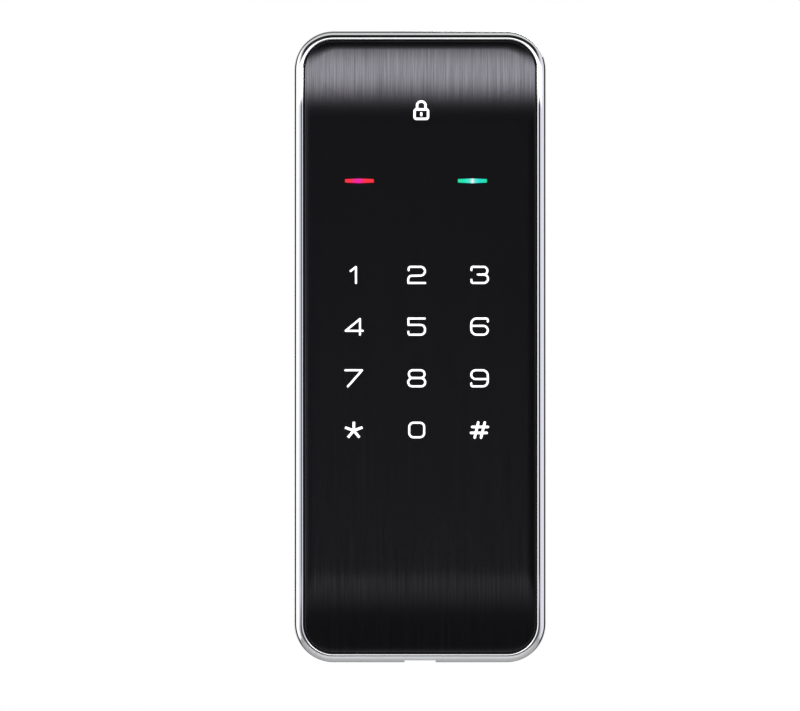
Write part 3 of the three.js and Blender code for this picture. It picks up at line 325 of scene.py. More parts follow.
def add_node(tree, kind, **values):
    """A node with its settings and its inputs."""
    node = tree.nodes.new("ShaderNode" + kind)
    for key, value in values.items():
        if hasattr(node, key):
            setattr(node, key, value)
        else:
            feed_all(tree, node, **{key: value})
    return node


def maths(tree, operation, *values):
    """A maths node's result, from links or plain numbers."""
    node = add_node(tree, "Math", operation=operation)
    for socket, value in zip(node.inputs, values):
        feed(tree, socket, value)
    return node.outputs[0]


def remap(tree, value, low, high, to_low=0.0, to_high=1.0, curve="LINEAR"):
    """A value mapped from low..high to to_low..to_high, and held there outside."""
    return add_node(tree, "MapRange", Value=value, From_Min=low, From_Max=high, To_Min=to_low,
                    To_Max=to_high, interpolation_type=curve).outputs[0]


def own_place(tree):
    """A point's place in its piece's own axes."""
    return add_node(tree, "TexCoord").outputs["Object"]


def own_axis(tree, axis):
    """A point's x, y or z in its piece's own axes."""
    return add_node(tree, "SeparateXYZ", Vector=own_place(tree)).outputs[axis]


def shader_group(name, inputs, outputs):
    """An empty shader node group with named inputs and outputs, which are floats but for Normal."""
    group = bpy.data.node_groups.new(name, "ShaderNodeTree")
    for label, value in inputs.items():
        socket = group.interface.new_socket(label, in_out="INPUT", socket_type="NodeSocketFloat")
        socket.default_value = value
    for label in outputs:
        kind = "NodeSocketVector" if label == "Normal" else "NodeSocketFloat"
        group.interface.new_socket(label, in_out="OUTPUT", socket_type=kind)
    return group, group.nodes.new("NodeGroupInput").outputs, group.nodes.new("NodeGroupOutput")


def brushed_group():
    """Brush lines along Z: noise squeezed hard in X and stretched in Z, in two widths."""
    group, given, out = shader_group("brush_lines", {"Line Density": 1300.0, "Length": 14.0},
                                     ["Lines", "Normal"])
    stretch = add_node(group, "CombineXYZ", X=given["Line Density"], Y=1.0, Z=given["Length"])
    scaled = add_node(group, "VectorMath", operation="MULTIPLY")
    feed(group, scaled.inputs[0], own_place(group))
    feed(group, scaled.inputs[1], stretch.outputs[0])
    place = scaled.outputs[0]
    fine = add_node(group, "TexNoise", Vector=place, Scale=3.0, Detail=5.0, Roughness=0.7)
    wide = add_node(group, "TexNoise", Vector=place, Scale=0.7, Detail=2.0, Roughness=0.55)
    mixed = maths(group, "MULTIPLY_ADD", wide.outputs[0], 0.22, fine.outputs[0])
    lines = remap(group, mixed, 0.4, 0.85)
    bump = add_node(group, "Bump", Height=lines, Strength=0.3, Distance=0.00001)
    feed_all(group, out, Lines=lines, Normal=bump.outputs[0])
    return group


def grain_group():
    """A moulded or cast surface: fine random grain as a bump, and slow patches for the finish."""
    group, given, out = shader_group(
        "surface_grain", {"Grain Scale": 2500.0, "Grain Depth": 0.00003, "Patch Scale": 60.0},
        ["Patches", "Normal"])
    place = own_place(group)
    grain = add_node(group, "TexNoise", Vector=place, Scale=given["Grain Scale"], Detail=2.0)
    patches = add_node(group, "TexNoise", Vector=place, Scale=given["Patch Scale"], Detail=4.0)
    bump = add_node(group, "Bump", Height=grain.outputs[0], Distance=given["Grain Depth"], Strength=0.5)
    feed_all(group, out, Patches=patches.outputs[0], Normal=bump.outputs[0])
    return group


def marks_group():
    """Handling marks on a polished surface: cloudy smudges, and fine hair scratches."""
    group, given, out = shader_group("handling_marks", {"Smudge Scale": 55.0, "Scratch Scale": 220.0},
                                     ["Smudges", "Scratches"])
    place = own_place(group)
    cloud = add_node(group, "TexNoise", Vector=place, Scale=given["Smudge Scale"], Detail=6.0,
                     Roughness=0.65)
    turn = add_node(group, "Mapping", Vector=place, Rotation=(0.4, 0.9, 0.3), Scale=(1.0, 0.06, 1.0))
    hairs = add_node(group, "TexNoise", Vector=turn.outputs[0], Scale=given["Scratch Scale"], Detail=3.0,
                     Distortion=0.6)
    feed_all(group, out, Smudges=remap(group, cloud.outputs[0], 0.45, 0.8),
             Scratches=remap(group, hairs.outputs[0], 0.66, 0.7))
    return group


BRUSHED = brushed_group()
GRAIN = grain_group()
MARKS = marks_group()


# ---- Materials ----
def new_material(name, **values):
    """A material with one Principled shader, and its sockets set."""
    material = bpy.data.materials.new(name)
    material.use_nodes = True
    tree = material.node_tree
    shader = tree.nodes["Principled BSDF"]
    feed_all(tree, shader, **values)
    return material, tree, shader


def place_group(tree, group, **values):
    """The outputs of an effect group put into a material with its own values."""
    node = tree.nodes.new("ShaderNodeGroup")
    node.node_tree = group
    feed_all(tree, node, **values)
    return node.outputs


def blend(tree, mask, first, second):
    """Two colours, or linked colours, mixed by a mask."""
    mix = add_node(tree, "Mix", Factor=mask, data_type="RGBA")
    sockets = [socket for socket in mix.inputs if socket.type == "RGBA"]
    for socket, colour in zip(sockets, (first, second)):
        feed(tree, socket, colour if isinstance(colour, bpy.types.NodeSocket) else (*colour, 1))
    return next(socket for socket in mix.outputs if socket.type == "RGBA")


def ramp(tree, value, stops, interpolation="LINEAR"):
    """A colour that runs through (place, colour) stops as value goes from 0 to 1."""
    node = add_node(tree, "ValToRGB", Fac=value)
    node.color_ramp.interpolation = interpolation
    for _ in stops[2:]:
        node.color_ramp.elements.new(0.5)
    for element, (where, colour) in zip(node.color_ramp.elements, stops):
        element.position = where
        element.color = (*colour, 1)
    return node.outputs["Color"]


def chrome_plate():
    """Bright chrome plate: sharp mirror with faint smudges and hair scratches."""
    material, tree, shader = new_material("chrome_plate", Metallic=1.0)
    marks = place_group(tree, MARKS)
    feed_all(tree, shader, Roughness=remap(tree, marks["Smudges"], 0, 1, 0.035, 0.11),
             Base_Color=blend(tree, marks["Scratches"], (0.9, 0.905, 0.915), (0.846, 0.8507, 0.8601)))
    return material


def brushed_black():
    """Black brushed sheet under a clear lacquer: fine vertical lines that catch the light."""
    material, tree, shader = new_material("brushed_black_panel", Metallic=1.0, Coat_Weight=0.02,
                                          Coat_Roughness=0.06)
    brush = place_group(tree, BRUSHED)
    lines = brush["Lines"]
    feed_all(tree, shader, Roughness=remap(tree, lines, 0, 1, 0.165, 0.115), Normal=brush["Normal"],
             Base_Color=blend(tree, lines, (0.03, 0.0288, 0.0345), (0.088, 0.0862, 0.095)))
    return material


def grained(name, dark, pale, smooth, rough, scale, depth, patches, **values):
    """A material whose tone and gloss drift between two values in patches, under a fine grain."""
    material, tree, shader = new_material(name, **values)
    texture = place_group(tree, GRAIN, Grain_Scale=scale, Grain_Depth=depth, Patch_Scale=patches)
    feed_all(tree, shader, Base_Color=blend(tree, texture["Patches"], dark, pale),
             Roughness=remap(tree, texture["Patches"], 0, 1, smooth, rough), Normal=texture["Normal"])
    return material


def moulded(name, colour, rough, contrast=0.25):
    """Moulded plastic: fine spark grain, slightly uneven gloss and tone."""
    darker = [c * (1 - contrast) for c in colour]
    return grained(name, darker, colour, rough - 0.06, rough + 0.08, 2500.0, 0.00003, 60.0)


def plain_metal(name, colour, rough=0.32):
    """Stamped or turned metal: satin, with slow patches of tone and fine tool grain."""
    darker = [c * 0.8 for c in colour]
    return grained(name, darker, colour, rough - 0.08, rough + 0.1, 1500.0, 0.00001, 90.0, Metallic=1.0)


def soft_rubber():
    """Black rubber: dull, with a powdery bloom in patches."""
    return grained("soft_rubber", (0.007, 0.007, 0.007), (0.016, 0.0155, 0.015), 0.75, 0.92, 1800.0,
                   0.00006, 45.0, Specular_IOR_Level=0.25)


def circuit_board():
    """Green solder mask over copper tracks: a brick-like net of tracks shows paler through the mask."""
    material, tree, shader = new_material("circuit_board", Roughness=0.3)
    turn = add_node(tree, "Mapping", Vector=own_place(tree), Rotation=(math.pi / 2, 0, 0))
    tracks = add_node(tree, "TexBrick", Vector=turn.outputs[0], Scale=260.0, Mortar_Size=0.035,
                      Brick_Width=0.9, Row_Height=0.34).outputs["Fac"]
    bump = add_node(tree, "Bump", Height=tracks, Strength=0.4, Distance=0.00004)
    feed_all(tree, shader, Base_Color=blend(tree, tracks, (0.012, 0.11, 0.045), (0.03, 0.21, 0.09)),
             Normal=bump.outputs[0])
    return material


def light_material(name, low_x, high_x, stops):
    """A lit bar whose colour runs along X through the given stops of (share, colour)."""
    material, tree, shader = new_material(name, Roughness=0.35, Specular_IOR_Level=0.08,
                                          Base_Color=(0.02, 0.02, 0.02, 1), Emission_Strength=0.95)
    share = remap(tree, own_axis(tree, "X"), low_x * MM, high_x * MM)
    feed_all(tree, shader, Emission_Color=ramp(tree, share, stops))
    return material


def white_ink():
    """White screen-printed ink, lit faintly from behind."""
    material, tree, shader = new_material("white_ink", Roughness=0.5, Emission_Strength=0.62)
    texture = place_group(tree, GRAIN, Grain_Scale=4000.0, Patch_Scale=700.0)
    colour = blend(tree, texture["Patches"], (0.9, 0.9, 0.9), (1.0, 1.0, 1.0))
    feed_all(tree, shader, Base_Color=colour, Emission_Color=colour)
    return material


def cell_wrap(minus_z, plus_z):
    """A cell's printed sleeve: a dark body with a copper-coloured band towards the plus end."""
    name = "cell_wrap_up" if plus_z > minus_z else "cell_wrap_down"
    material, tree, shader = new_material(name, Metallic=0.6)
    share = remap(tree, own_axis(tree, "Z"), minus_z * MM, plus_z * MM)
    dark = (0.02, 0.022, 0.028)
    band = ramp(tree, share, [(0.0, (0.42, 0.42, 0.43)), (0.012, dark), (0.69, (0.62, 0.33, 0.14)),
                              (0.962, dark), (0.978, (0.6, 0.6, 0.61))], "CONSTANT")
    marks = place_group(tree, MARKS, Smudge_Scale=140.0)
    feed_all(tree, shader, Base_Color=band, Roughness=remap(tree, marks["Smudges"], 0, 1, 0.22, 0.42))
    return material


FINISHES = {
    "chrome_plate": chrome_plate(),
    "black_panel": brushed_black(),
    "black_plastic": moulded("black_plastic", (0.028, 0.028, 0.03), 0.48),
    "grey_plastic": moulded("grey_plastic", (0.13, 0.13, 0.14), 0.58),
    "white_plastic": moulded("white_plastic", (0.78, 0.78, 0.75), 0.42, contrast=0.06),
    "gear_plastic": moulded("gear_plastic", (0.68, 0.63, 0.5), 0.4, contrast=0.08),
    "circuit_board": circuit_board(),
    "steel": plain_metal("zinc_plated_steel", (0.62, 0.63, 0.64)),
    "brass": plain_metal("brass", (0.78, 0.58, 0.26), 0.26),
    "rubber": soft_rubber(),
    "cell_sleeve": plain_metal("cell_metal", (0.6, 0.6, 0.61), 0.25),
}
INK = white_ink()


def set_finish(piece, finish):
    """Gives a piece one material."""
    piece.data.materials.clear()
    piece.data.materials.append(finish)


def dress(piece, body, slot, *nodes, material=None):
    """Gives a new piece its finish, its body and the CAD nodes it stands for."""
    set_finish(piece, material or FINISHES[slot])
    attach(piece, body)
    if nodes:
        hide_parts(*nodes)
    return piece


def dress_cad_nodes():
    """Gives each remaining CAD piece the finish of its own slot."""
    slots = {entry["node"]: entry["material_slot"] for entry in frame["record"]["subparts"]}
    for name, piece in frame["nodes"].items():
        if slots[name] in FINISHES:
            set_finish(piece, FINISHES[slots[name]])


# ---- Outside unit ----
SCOOP_STOPS = (PORT_SCOOP_HALF, PORT_SCOOP_HALF + 0.02)
FRAME_PATH = outline(
    frame_high[0] - frame_low[0], frame_high[2] - frame_low[2], CORNER_RADIUS - HOUSING_DRAFT,
    UNIT_MIDDLE, corner_steps=28, side_step=2, stops=SCOOP_STOPS,
)


def scoop_out(piece):
    """Lifts the bottom edge to the port scoop's depth, between the scoop's two sides."""
    mesh = piece.data
    flat = np.empty(len(mesh.vertices) * 3)
    mesh.vertices.foreach_get("co", flat)
    points = flat.reshape(-1, 3)
    inside = np.abs(points[:, 0]) < (PORT_SCOOP_HALF + 0.01) * MM
    points[inside, 2] = np.maximum(points[inside, 2], PORT_SCOOP_Z * MM)
    mesh.vertices.foreach_set("co", points.ravel())
    mesh.update()


def rolled_edge(out):
    """Y of the frame's rolled outer edge at a share out from its crown, 0, to its rim, 1: a quarter
    ellipse along the sides and the bottom, which turns into a flatter, squarer round at the top."""
    side = 1.6 * (1 - math.sqrt(1 - out**2))
    top = 1.2 * (1 - (1 - out**3) ** (1 / 3))

    def y(z):
        share = np.clip((z - frame_high[2] + 9) / 6.5, 0, 1)
        share = share * share * (3 - 2 * share)
        return crown_y(z) + 0.004 + side * (1 - share) + top * share

    return y


def polished_frame():
    """The chrome frame: a rolled outer edge, a narrow crown and a bevel down to the panel, with the
    panel's ledge behind it, all carried round the outline."""
    crown_at, inner_round, wall = 1.62, 0.43, 1.6
    outer = [(crown_at * (1 - math.cos(t)), rolled_edge(math.cos(t)))
             for t in np.radians(np.linspace(0, 90, 25))]
    bevel = arc((crown_at + 0.06, inner_round + 0.004), inner_round, 270, 345, 12)
    rest = [*bevel, (FRAME_WIDTH, wall), (FRAME_WIDTH, LIP_FRONT), (FRAME_WIDTH + LIP_WIDTH, LIP_FRONT),
            (FRAME_WIDTH + LIP_WIDTH, LIP_BACK)]
    section = [(0.0, behind(LIP_BACK)), (0.0, behind(2.6)), *outer,
               *[(inset, behind(depth)) for inset, depth in rest]]
    piece = ring("polished_frame", FRAME_PATH, section, crease=40)
    scoop_out(piece)
    dress(piece, "lock_body", "chrome_plate", "chrome_frame")


def pressed_seal():
    """The rubber seal under the panel, with a lip that stands up in the gap round the panel's edge."""
    gap, lip, foot = 0.04, 0.36, 3.15
    outside = FRAME_WIDTH + gap
    top, back = PANEL_SUNK + 0.8, LIP_FRONT - 0.15
    under = PANEL_SUNK + PANEL_THICKNESS + 0.12
    section = [(outside, top), (outside, back), (outside + foot, back), (outside + foot, under),
               (outside + lip, under), (outside + lip, top)]
    piece = ring("pressed_seal", FRAME_PATH, [(inset, behind(depth)) for inset, depth in section])
    dress(piece, "lock_body", "rubber", "panel_seal")


def cast_housing():
    """The outside casing: a tapered wall behind the frame, with small rounds on its rims, and the
    bosses that take the back plate's screws."""
    wall, edge = 2.4, 0.35
    rim_y = housing_high[1]
    front = LIP_BACK + 0.3

    def flare(share):
        """Y between the front rim, which follows the crown, and the level back rim."""
        return lambda z: (crown_y(z) + front) * (1 - share) + rim_y * share

    back = outline(UNIT_WIDTH, UNIT_HEIGHT, CORNER_RADIUS, UNIT_MIDDLE, corner_steps=24, side_step=2,
                   stops=SCOOP_STOPS)
    inner = wall + HOUSING_DRAFT
    section = [(inner, 0.0), (HOUSING_DRAFT + edge, 0.0), (HOUSING_DRAFT + edge * 0.3, 0.008),
               (HOUSING_DRAFT, 0.028), (HOUSING_DRAFT * 0.66, 0.35), (HOUSING_DRAFT * 0.3, 0.7),
               (0.0, 0.975), (edge * 0.3, 0.992), (edge, 1.0), (inner, 1.0)]
    piece = ring("cast_housing", back, [(inset, flare(share)) for inset, share in section], crease=40)
    scoop_out(piece)
    port_low, port_high = span("power_port")
    gap = 0.3
    hole = box_cutter(port_low[0] - gap, port_high[0] + gap, port_low[1] - gap, port_high[1] + gap,
                      housing_low[2] - 2, housing_low[2] + 6)
    carve(piece, hole, crease=40)
    bore, radius, round_off, foot, top = 1.65, 3.4, 0.2, rim_y - 1.8, rim_y - 9
    boss = [(bore, top), (radius - round_off, top), (radius, top + round_off), (radius, foot),
            (bore, foot)]
    for number in range(1, 5):
        place = measure(f"back_plate_screw_{number}")[2]
        dress(lathe(f"housing_boss_{number}", boss, place, sides=40, closed=True), "lock_body",
              "chrome_plate")
    dress(piece, "lock_body", "chrome_plate", "outside_housing")


BAR_NARROWING = 0.28  # how much lower a light bar is at its ends than at its middle
BAR_TRIM = 0.08
BAR_NUDGE = {"light_bar_red": -0.1, "light_bar_green": -0.5}


def bar_path(node, grow=0.0):
    """The outline of a light bar: a thin bar, fuller at its middle, with small round corners."""
    low, high, middle, half = measure(node)
    half += grow
    height = high[2] - low[2] + 2 * (grow - BAR_TRIM)
    path = outline(2 * half, height, 0.2, middle[1], middle[0] + BAR_NUDGE[node], corner_steps=5,
                   side_step=0.35)
    share = np.abs(path["x"] - path["across"]) / half
    path["z"] = path["middle"] + (path["z"] - path["middle"]) * (1 - BAR_NARROWING * share)
    return path


def brushed_panel():
    """The touch panel: a sheet that follows the crown's curve, its edge softly rounded, with two slots
    for the light bars."""
    width, height = panel_high[0] - panel_low[0], panel_high[2] - panel_low[2]
    radius = CORNER_RADIUS - (UNIT_WIDTH - width) / 2
    path = outline(width, height, radius, UNIT_MIDDLE, corner_steps=20, side_step=2)
    back, edge, back_edge = PANEL_SUNK + PANEL_THICKNESS, 0.16, 0.25
    levels = [(back_edge, back), (0.0, back - back_edge), (0.0, PANEL_SUNK + edge),
              *rolled(0.0, PANEL_SUNK, edge, [22, 45, 68, 90])]
    piece = loft("brushed_panel", path, [(inset, behind(depth)) for inset, depth in levels], caps=14)
    slots = [loft("slot", bar_path(node, 0.1), [(0.0, -30), (0.0, -10)], caps=1) for node in BAR_NUDGE]
    carve(piece, *slots, crease=30)
    dress(piece, "lock_body", "black_panel", "front_panel")


def light_lens(name, node, slot, stops):
    """A light bar: a slot-ended bar, slightly fuller at its middle, with a rounded face."""
    _, high, _, half = measure(node)
    face = PANEL_FACE_Y - 0.02
    path = bar_path(node)
    piece = loft(name, path, [(0.0, high[1]), (0.0, face + 0.15), (0.05, face + 0.04), (0.15, face)],
                 caps=3)
    material = light_material(name + "_glow", path["across"] - half, path["across"] + half, stops)
    dress(piece, "lock_body", slot, node, material=material)


# ---- Legends ----
def rounded_route(corners, radius, closed=False, steps=7):
    """A route through corners, each turned into an arc: a corner's arc starts and ends the same length
    away from it, radius times the tangent of half the turn, but never past half a side. A corner may
    carry its own radius as a third number."""
    radii = [corner[2] if len(corner) > 2 else radius for corner in corners]
    corners = np.array([corner[:2] for corner in corners], dtype=float)
    count = len(corners)
    found = []
    for i, corner in enumerate(corners):
        if not closed and i in (0, count - 1):
            found.append(corner[None])
            continue
        before, after = corners[i - 1] - corner, corners[(i + 1) % count] - corner
        a, b = np.linalg.norm(before), np.linalg.norm(after)
        before, after = before / a, after / b
        half_turn = (math.pi - math.acos(np.clip(before @ after, -1, 1))) / 2
        reach = min(radii[i] * math.tan(half_turn), 0.5 * a, 0.5 * b)
        start, end = corner + before * reach, corner + after * reach
        u = np.linspace(0, 1, steps + 1)[:, None]
        weight = math.cos(half_turn)
        share = (1 - u) ** 2 + 2 * weight * u * (1 - u) + u**2
        found.append(((1 - u) ** 2 * start + 2 * weight * u * (1 - u) * corner + u**2 * end) / share)
    return np.concatenate(found)


def ink_stroke(name, route, half_width, closed=False, square=False):
    """A stroke of ink on the panel: a low flat-topped ridge carried along a route in X and Z, with
    round ends, or square ones."""
    same = 1e-6
    if closed:
        gaps = np.linalg.norm(route - np.roll(route, 1, axis=0), axis=1)
        route = route[gaps > same]
        width = np.full(len(route), half_width)
        inner = np.roll(route, -1, axis=0) - np.roll(route, 1, axis=0)
    else:
        legs = np.linalg.norm(np.diff(route, axis=0), axis=1)
        route = route[np.concatenate([[True], legs > same])]
        first, last = route[0] - route[1], route[-1] - route[-2]
        first, last = first / np.linalg.norm(first), last / np.linalg.norm(last)
        angle = np.radians([90, 75, 55, 30])
        reach = half_width * (np.array([0.0]) if square else np.sin(angle))
        shape = np.array([0.0]) if square else np.cos(angle)
        head = route[0] + reach[:, None] * first
        tail = route[-1] + reach[::-1, None] * last
        width = half_width * np.concatenate([shape, np.ones(len(route)), shape[::-1]])
        route = np.concatenate([head, route, tail])
        inner = np.gradient(route, axis=0)
        inner[:len(head)], inner[len(route) - len(tail):] = -first, last
    inner = inner / np.linalg.norm(inner, axis=1)[:, None]
    across = np.stack([-inner[:, 1], inner[:, 0]], axis=-1)
    share = np.array([-1.0, -0.93, -0.7, 0.7, 0.93, 1.0, 1.0, -1.0])
    rise = np.array([0.0, 0.7, 1.0, 1.0, 0.7, 0.0, -0.6, -0.6]) * 0.05
    flat = route[:, None, :] + share[None, :, None] * width[:, None, None] * across[:, None, :]
    y = PANEL_FACE_Y - np.broadcast_to(rise, flat.shape[:2])
    points = np.stack([flat[..., 0], y, flat[..., 1]], axis=-1)
    return grid_mesh(name, points, wrap_rows=closed, wrap_columns=True, crease=50)


def legend(name, centre, strokes, half_width, square=False):
    """One printed legend: its strokes, each (corners, radius, closed), made one body."""
    parts = [ink_stroke(name, rounded_route(corners, radius, closed) + np.array(centre), half_width,
                        closed, square) for corners, radius, closed in strokes]
    piece = parts[0]
    if parts[1:]:
        carve(piece, *parts[1:], how="UNION", crease=50)
    dress(piece, "lock_body", "white_plastic", material=INK)


SIX = [(2.15, 1.3), (2.15, 2.1), (-2.15, 2.1), (-2.15, -2.1), (2.15, -2.1), (2.15, 0.2), (-2.1, 0.2)]
LEGENDS = {
    "1": [([(-0.85, 1.0), (0.55, 2.1), (0.55, -2.1)], 0.05, False)],
    "2": [([(-2.1, 1.2), (-2.1, 2.1), (2.15, 2.1), (2.15, -0.15), (-2.2, -0.25), (-2.2, -2.1, 0.02),
            (2.2, -2.1)], 1.15, False)],
    "3": [([(-2.1, 1.25), (-2.1, 2.1), (2.05, 2.1), (2.05, 0.1), (-0.45, 0.1)], 1.1, False),
          ([(-0.4, 0.08), (2.2, 0.08), (2.2, -2.1), (-2.1, -2.1), (-2.1, -1.25)], 1.1, False)],
    "4": [([(1.6, -2.1), (1.6, 2.0), (-2.15, -1.1), (2.3, -1.1)], 0.02, False)],
    "5": [([(2.1, 2.1), (-2.15, 2.1), (-2.15, 0.45), (2.15, 0.45, 1.1), (2.15, -2.1, 1.1),
            (-2.15, -2.1, 1.1), (-2.15, -1.35)], 0.02, False)],
    "6": [(SIX, 1.35, False)],
    "7": [([(-2.2, 2.1), (2.15, 2.1), (-1.55, -2.1)], 0.02, False)],
    "8": [([(-2.05, 0.1), (2.05, 0.1), (2.05, 2.1), (-2.05, 2.1)], 1.0, True),
          ([(-2.2, -2.1), (2.2, -2.1), (2.2, 0.05), (-2.2, 0.05)], 1.05, True)],
    "9": [([(-x, -z) for x, z in SIX], 1.35, False)],
    "star": [([(0, -0.15), tip], 0.0, False)
             for tip in ((0.0, 2.15), (2.25, 0.7), (1.45, -1.95), (-1.55, -1.95), (-2.3, 0.65))],
    "0": [([(-1.95, -1.9), (1.95, -1.9), (1.95, 1.9), (-1.95, 1.9)], 1.15, True)],
    "hash": [(line, 0.0, False)
             for line in ([(-0.35, 1.95), (-1.25, -1.95)], [(1.35, 1.95), (0.4, -1.95)],
                          [(-1.9, 0.8), (2.15, 0.8)], [(-2.2, -0.75), (1.85, -0.75)])],
}
PADLOCK = [([(-1.75, -2.2), (1.75, -2.2), (1.75, 0.25), (-1.75, 0.25)], 0.5, True),
           ([(-1.1, 0.3), (-1.1, 2.3), (1.1, 2.3), (1.1, 0.3)], 1.1, False),
           ([(0, -0.75), (0, -1.25)], 0.0, False)]
PADLOCK_PLACE = (0.3, 106)
KEY_ROWS = [["1", "2", "3"], ["4", "5", "6"], ["7", "8", "9"], ["star", "0", "hash"]]
KEY_PITCH_X = 16.35
KEY_PITCH_Z = 13.45
KEY_MIDDLE_X = -0.9
KEY_TOP_Z = 63.2


def printed_legends():
    """The keypad's digits and signs, in rows below the light bars, and a padlock sign above them."""
    for row, names in enumerate(KEY_ROWS):
        for column, name in enumerate(names):
            centre = (KEY_MIDDLE_X + (column - 1) * KEY_PITCH_X, KEY_TOP_Z - row * KEY_PITCH_Z)
            half_width = 0.34 if name in ("star", "hash") else 0.27
            legend("legend_" + name, centre, LEGENDS[name], half_width, square=name == "star")
    legend("sign_padlock", PADLOCK_PLACE, PADLOCK, 0.32)


# ---- Fasteners and turned pieces ----
def threaded_shank(radius, pitch, y0, y1, centre):
    """A threaded shank: the radius follows a rounded triangle wave of the turn angle plus the travel
    along the axis, and runs out to a plain end at both ends."""
    y = np.linspace(y0, y1, int((y1 - y0) / pitch * 8) + 1)[:, None]
    angle = np.linspace(0, 2 * np.pi, 32, endpoint=False)[None, :]
    phase = ((y - y0) / pitch - angle / (2 * np.pi)) % 1.0
    ridge = np.abs(phase - 0.5) * 2
    from_end = np.minimum(y - y0, y1 - y) / pitch
    r = radius - 0.55 * pitch * (1 - ridge) * np.clip(from_end / 1.2, 0, 1)
    r = r * (0.86 + 0.14 * np.clip(from_end / 0.3, 0, 1))
    x, z = centre[0] + r * np.cos(angle), centre[1] + r * np.sin(angle)
    body = np.stack([x, np.broadcast_to(y, x.shape), z], axis=-1)
    tip, tail = body[:1].copy(), body[-1:].copy()
    for end in (tip, tail):
        end[..., 0], end[..., 2] = centre
    return grid_mesh("thread", np.concatenate([tip, body, tail]), wrap_columns=True, crease=50)


def pan_screw(node):
    """A cross-recess pan-head screw along Y, its head towards +Y."""
    low, high, (x, z), head = measure(node)
    shank, pitch, reach, width, recess = 1.3, 0.6, 1.35, 0.3, 0.75
    under = high[1] - 1.2
    dome = [(head * math.cos(a), under + 0.35 + 0.85 * math.sin(a))
            for a in np.radians(np.linspace(0, 90, 9))]
    top = lathe(node + "_turned", [(0.0, under), (head * 0.94, under), (head, under + 0.08), *dome],
                (x, z), sides=48)
    y0, y1 = high[1] - recess, high[1] + 1
    cross = carve(box_cutter(x - reach, x + reach, y0, y1, z - width, z + width),
                  box_cutter(x - width, x + width, y0, y1, z - reach, z + reach), how="UNION")
    carve(top, cross)
    carve(top, threaded_shank(shank, pitch, low[1], under + 0.2, (x, z)), how="UNION")
    dress(top, "lock_body", "steel", node)


def through_bolt(side):
    """A long socket-head bolt: plain by its head, threaded where it meets the post."""
    node = f"through_bolt_{side}"
    low, high, place, head = measure(node)
    shank, pitch, plain, head_round, socket = 2.4, 0.8, 26, 0.8, 1.7
    under = high[1] - 3
    profile = [(0.0, under - plain), (shank * 0.9, under - plain), (shank, under - plain + 0.4),
               (shank, under - 0.25), (shank + 0.25, under), (head - 0.2, under), (head, under + 0.2),
               *arc((head - head_round, high[1] - head_round), head_round, 0, 90), (0.0, high[1])]
    piece = lathe(node + "_turned", profile, place, sides=64)
    carve(piece, drill(socket, high[1] - 1.6, high[1] + 1, place, sides=6))
    carve(piece, threaded_shank(shank, pitch, low[1], under - plain + 0.6, place), how="UNION")
    dress(piece, "lock_body", "steel", node)


def bolt_post(side):
    """A threaded post: a hexagon flange behind the back plate and a round stem into the door."""
    node = f"bolt_post_{side}"
    low, high, (x, _), _ = measure(node)
    stem, bore, chamfer, flange_radius, edge = 4.5, 2.7, 0.5, 6.7, 0.3
    base = low[1] + 2
    profile = [(bore, low[1] + 3), (0.0, low[1] + 2.6), (0.0, low[1] + 0.2), (stem, low[1] + 0.2),
               (stem, high[1] - chamfer), (stem - chamfer, high[1]), (bore + edge, high[1]),
               (bore, high[1] - edge)]
    piece = lathe(node + "_turned", profile, (x, 0.0), closed=True)
    flange = lathe("flange", [(0.0, low[1]), (flange_radius - edge, low[1]),
                              (flange_radius, low[1] + edge), (flange_radius, base - edge),
                              (flange_radius - edge, base), (0.0, base)], (x, 0.0), sides=6, crease=10)
    carve(piece, flange, how="UNION", crease=30)
    dress(piece, "lock_body", "steel", node)


def grommet():
    """A rubber bush with a groove that grips the back plate, and rounded lips."""
    low, high, place, lip = measure("cable_grommet")
    neck, bore, half_groove, lip_round, lead = lip - 1.6, 2.5, 0.8, 0.6, 0.4
    middle = (low[1] + high[1]) / 2
    profile = [(bore, low[1] + lead), (bore + lead, low[1]), (lip - lip_round, low[1]),
               *arc((lip - lip_round, low[1] + lip_round), lip_round, -90, 60),
               (neck, middle - half_groove), (neck, middle + half_groove),
               *arc((lip - lip_round, high[1] - lip_round), lip_round, -60, 90),
               (bore + lead, high[1]), (bore, high[1] - lead)]
    piece = lathe("moulded_grommet", profile, place, sides=64, closed=True)
    dress(piece, "lock_body", "rubber", "cable_grommet")


def linking_cable():
    """The cable's sheath along its route: out of the plug, through the door, and up to the board."""
    low, _ = span("linking_cable")
    x, z = low[0] + 2.2, low[2] + 2.2
    door_y = span("inside_plate")[0][1]
    plug_low, plug_high, (plug_x, _), _ = measure("cable_plug_inside")
    plug_z, run_y = plug_low[2], (plug_low[1] + plug_high[1]) / 2
    points = [
        (x, low[1], z), (x, 0, z), (x, door_y - 24.5, z), (x, door_y - 8.5, z), (x, door_y + 1, z),
        (x + 0.6, door_y + 6.5, z + 3), (x + 2.6, run_y - 0.5, z + 10), (plug_x - 1, run_y, plug_z - 18),
        (plug_x, run_y, plug_z - 8), (plug_x, run_y, plug_z - 0.3),
    ]
    piece = tube("cable_sheath", smooth_route(points, 120), 2.15, sides=24)
    dress(piece, "lock_body", "black_plastic", "linking_cable")


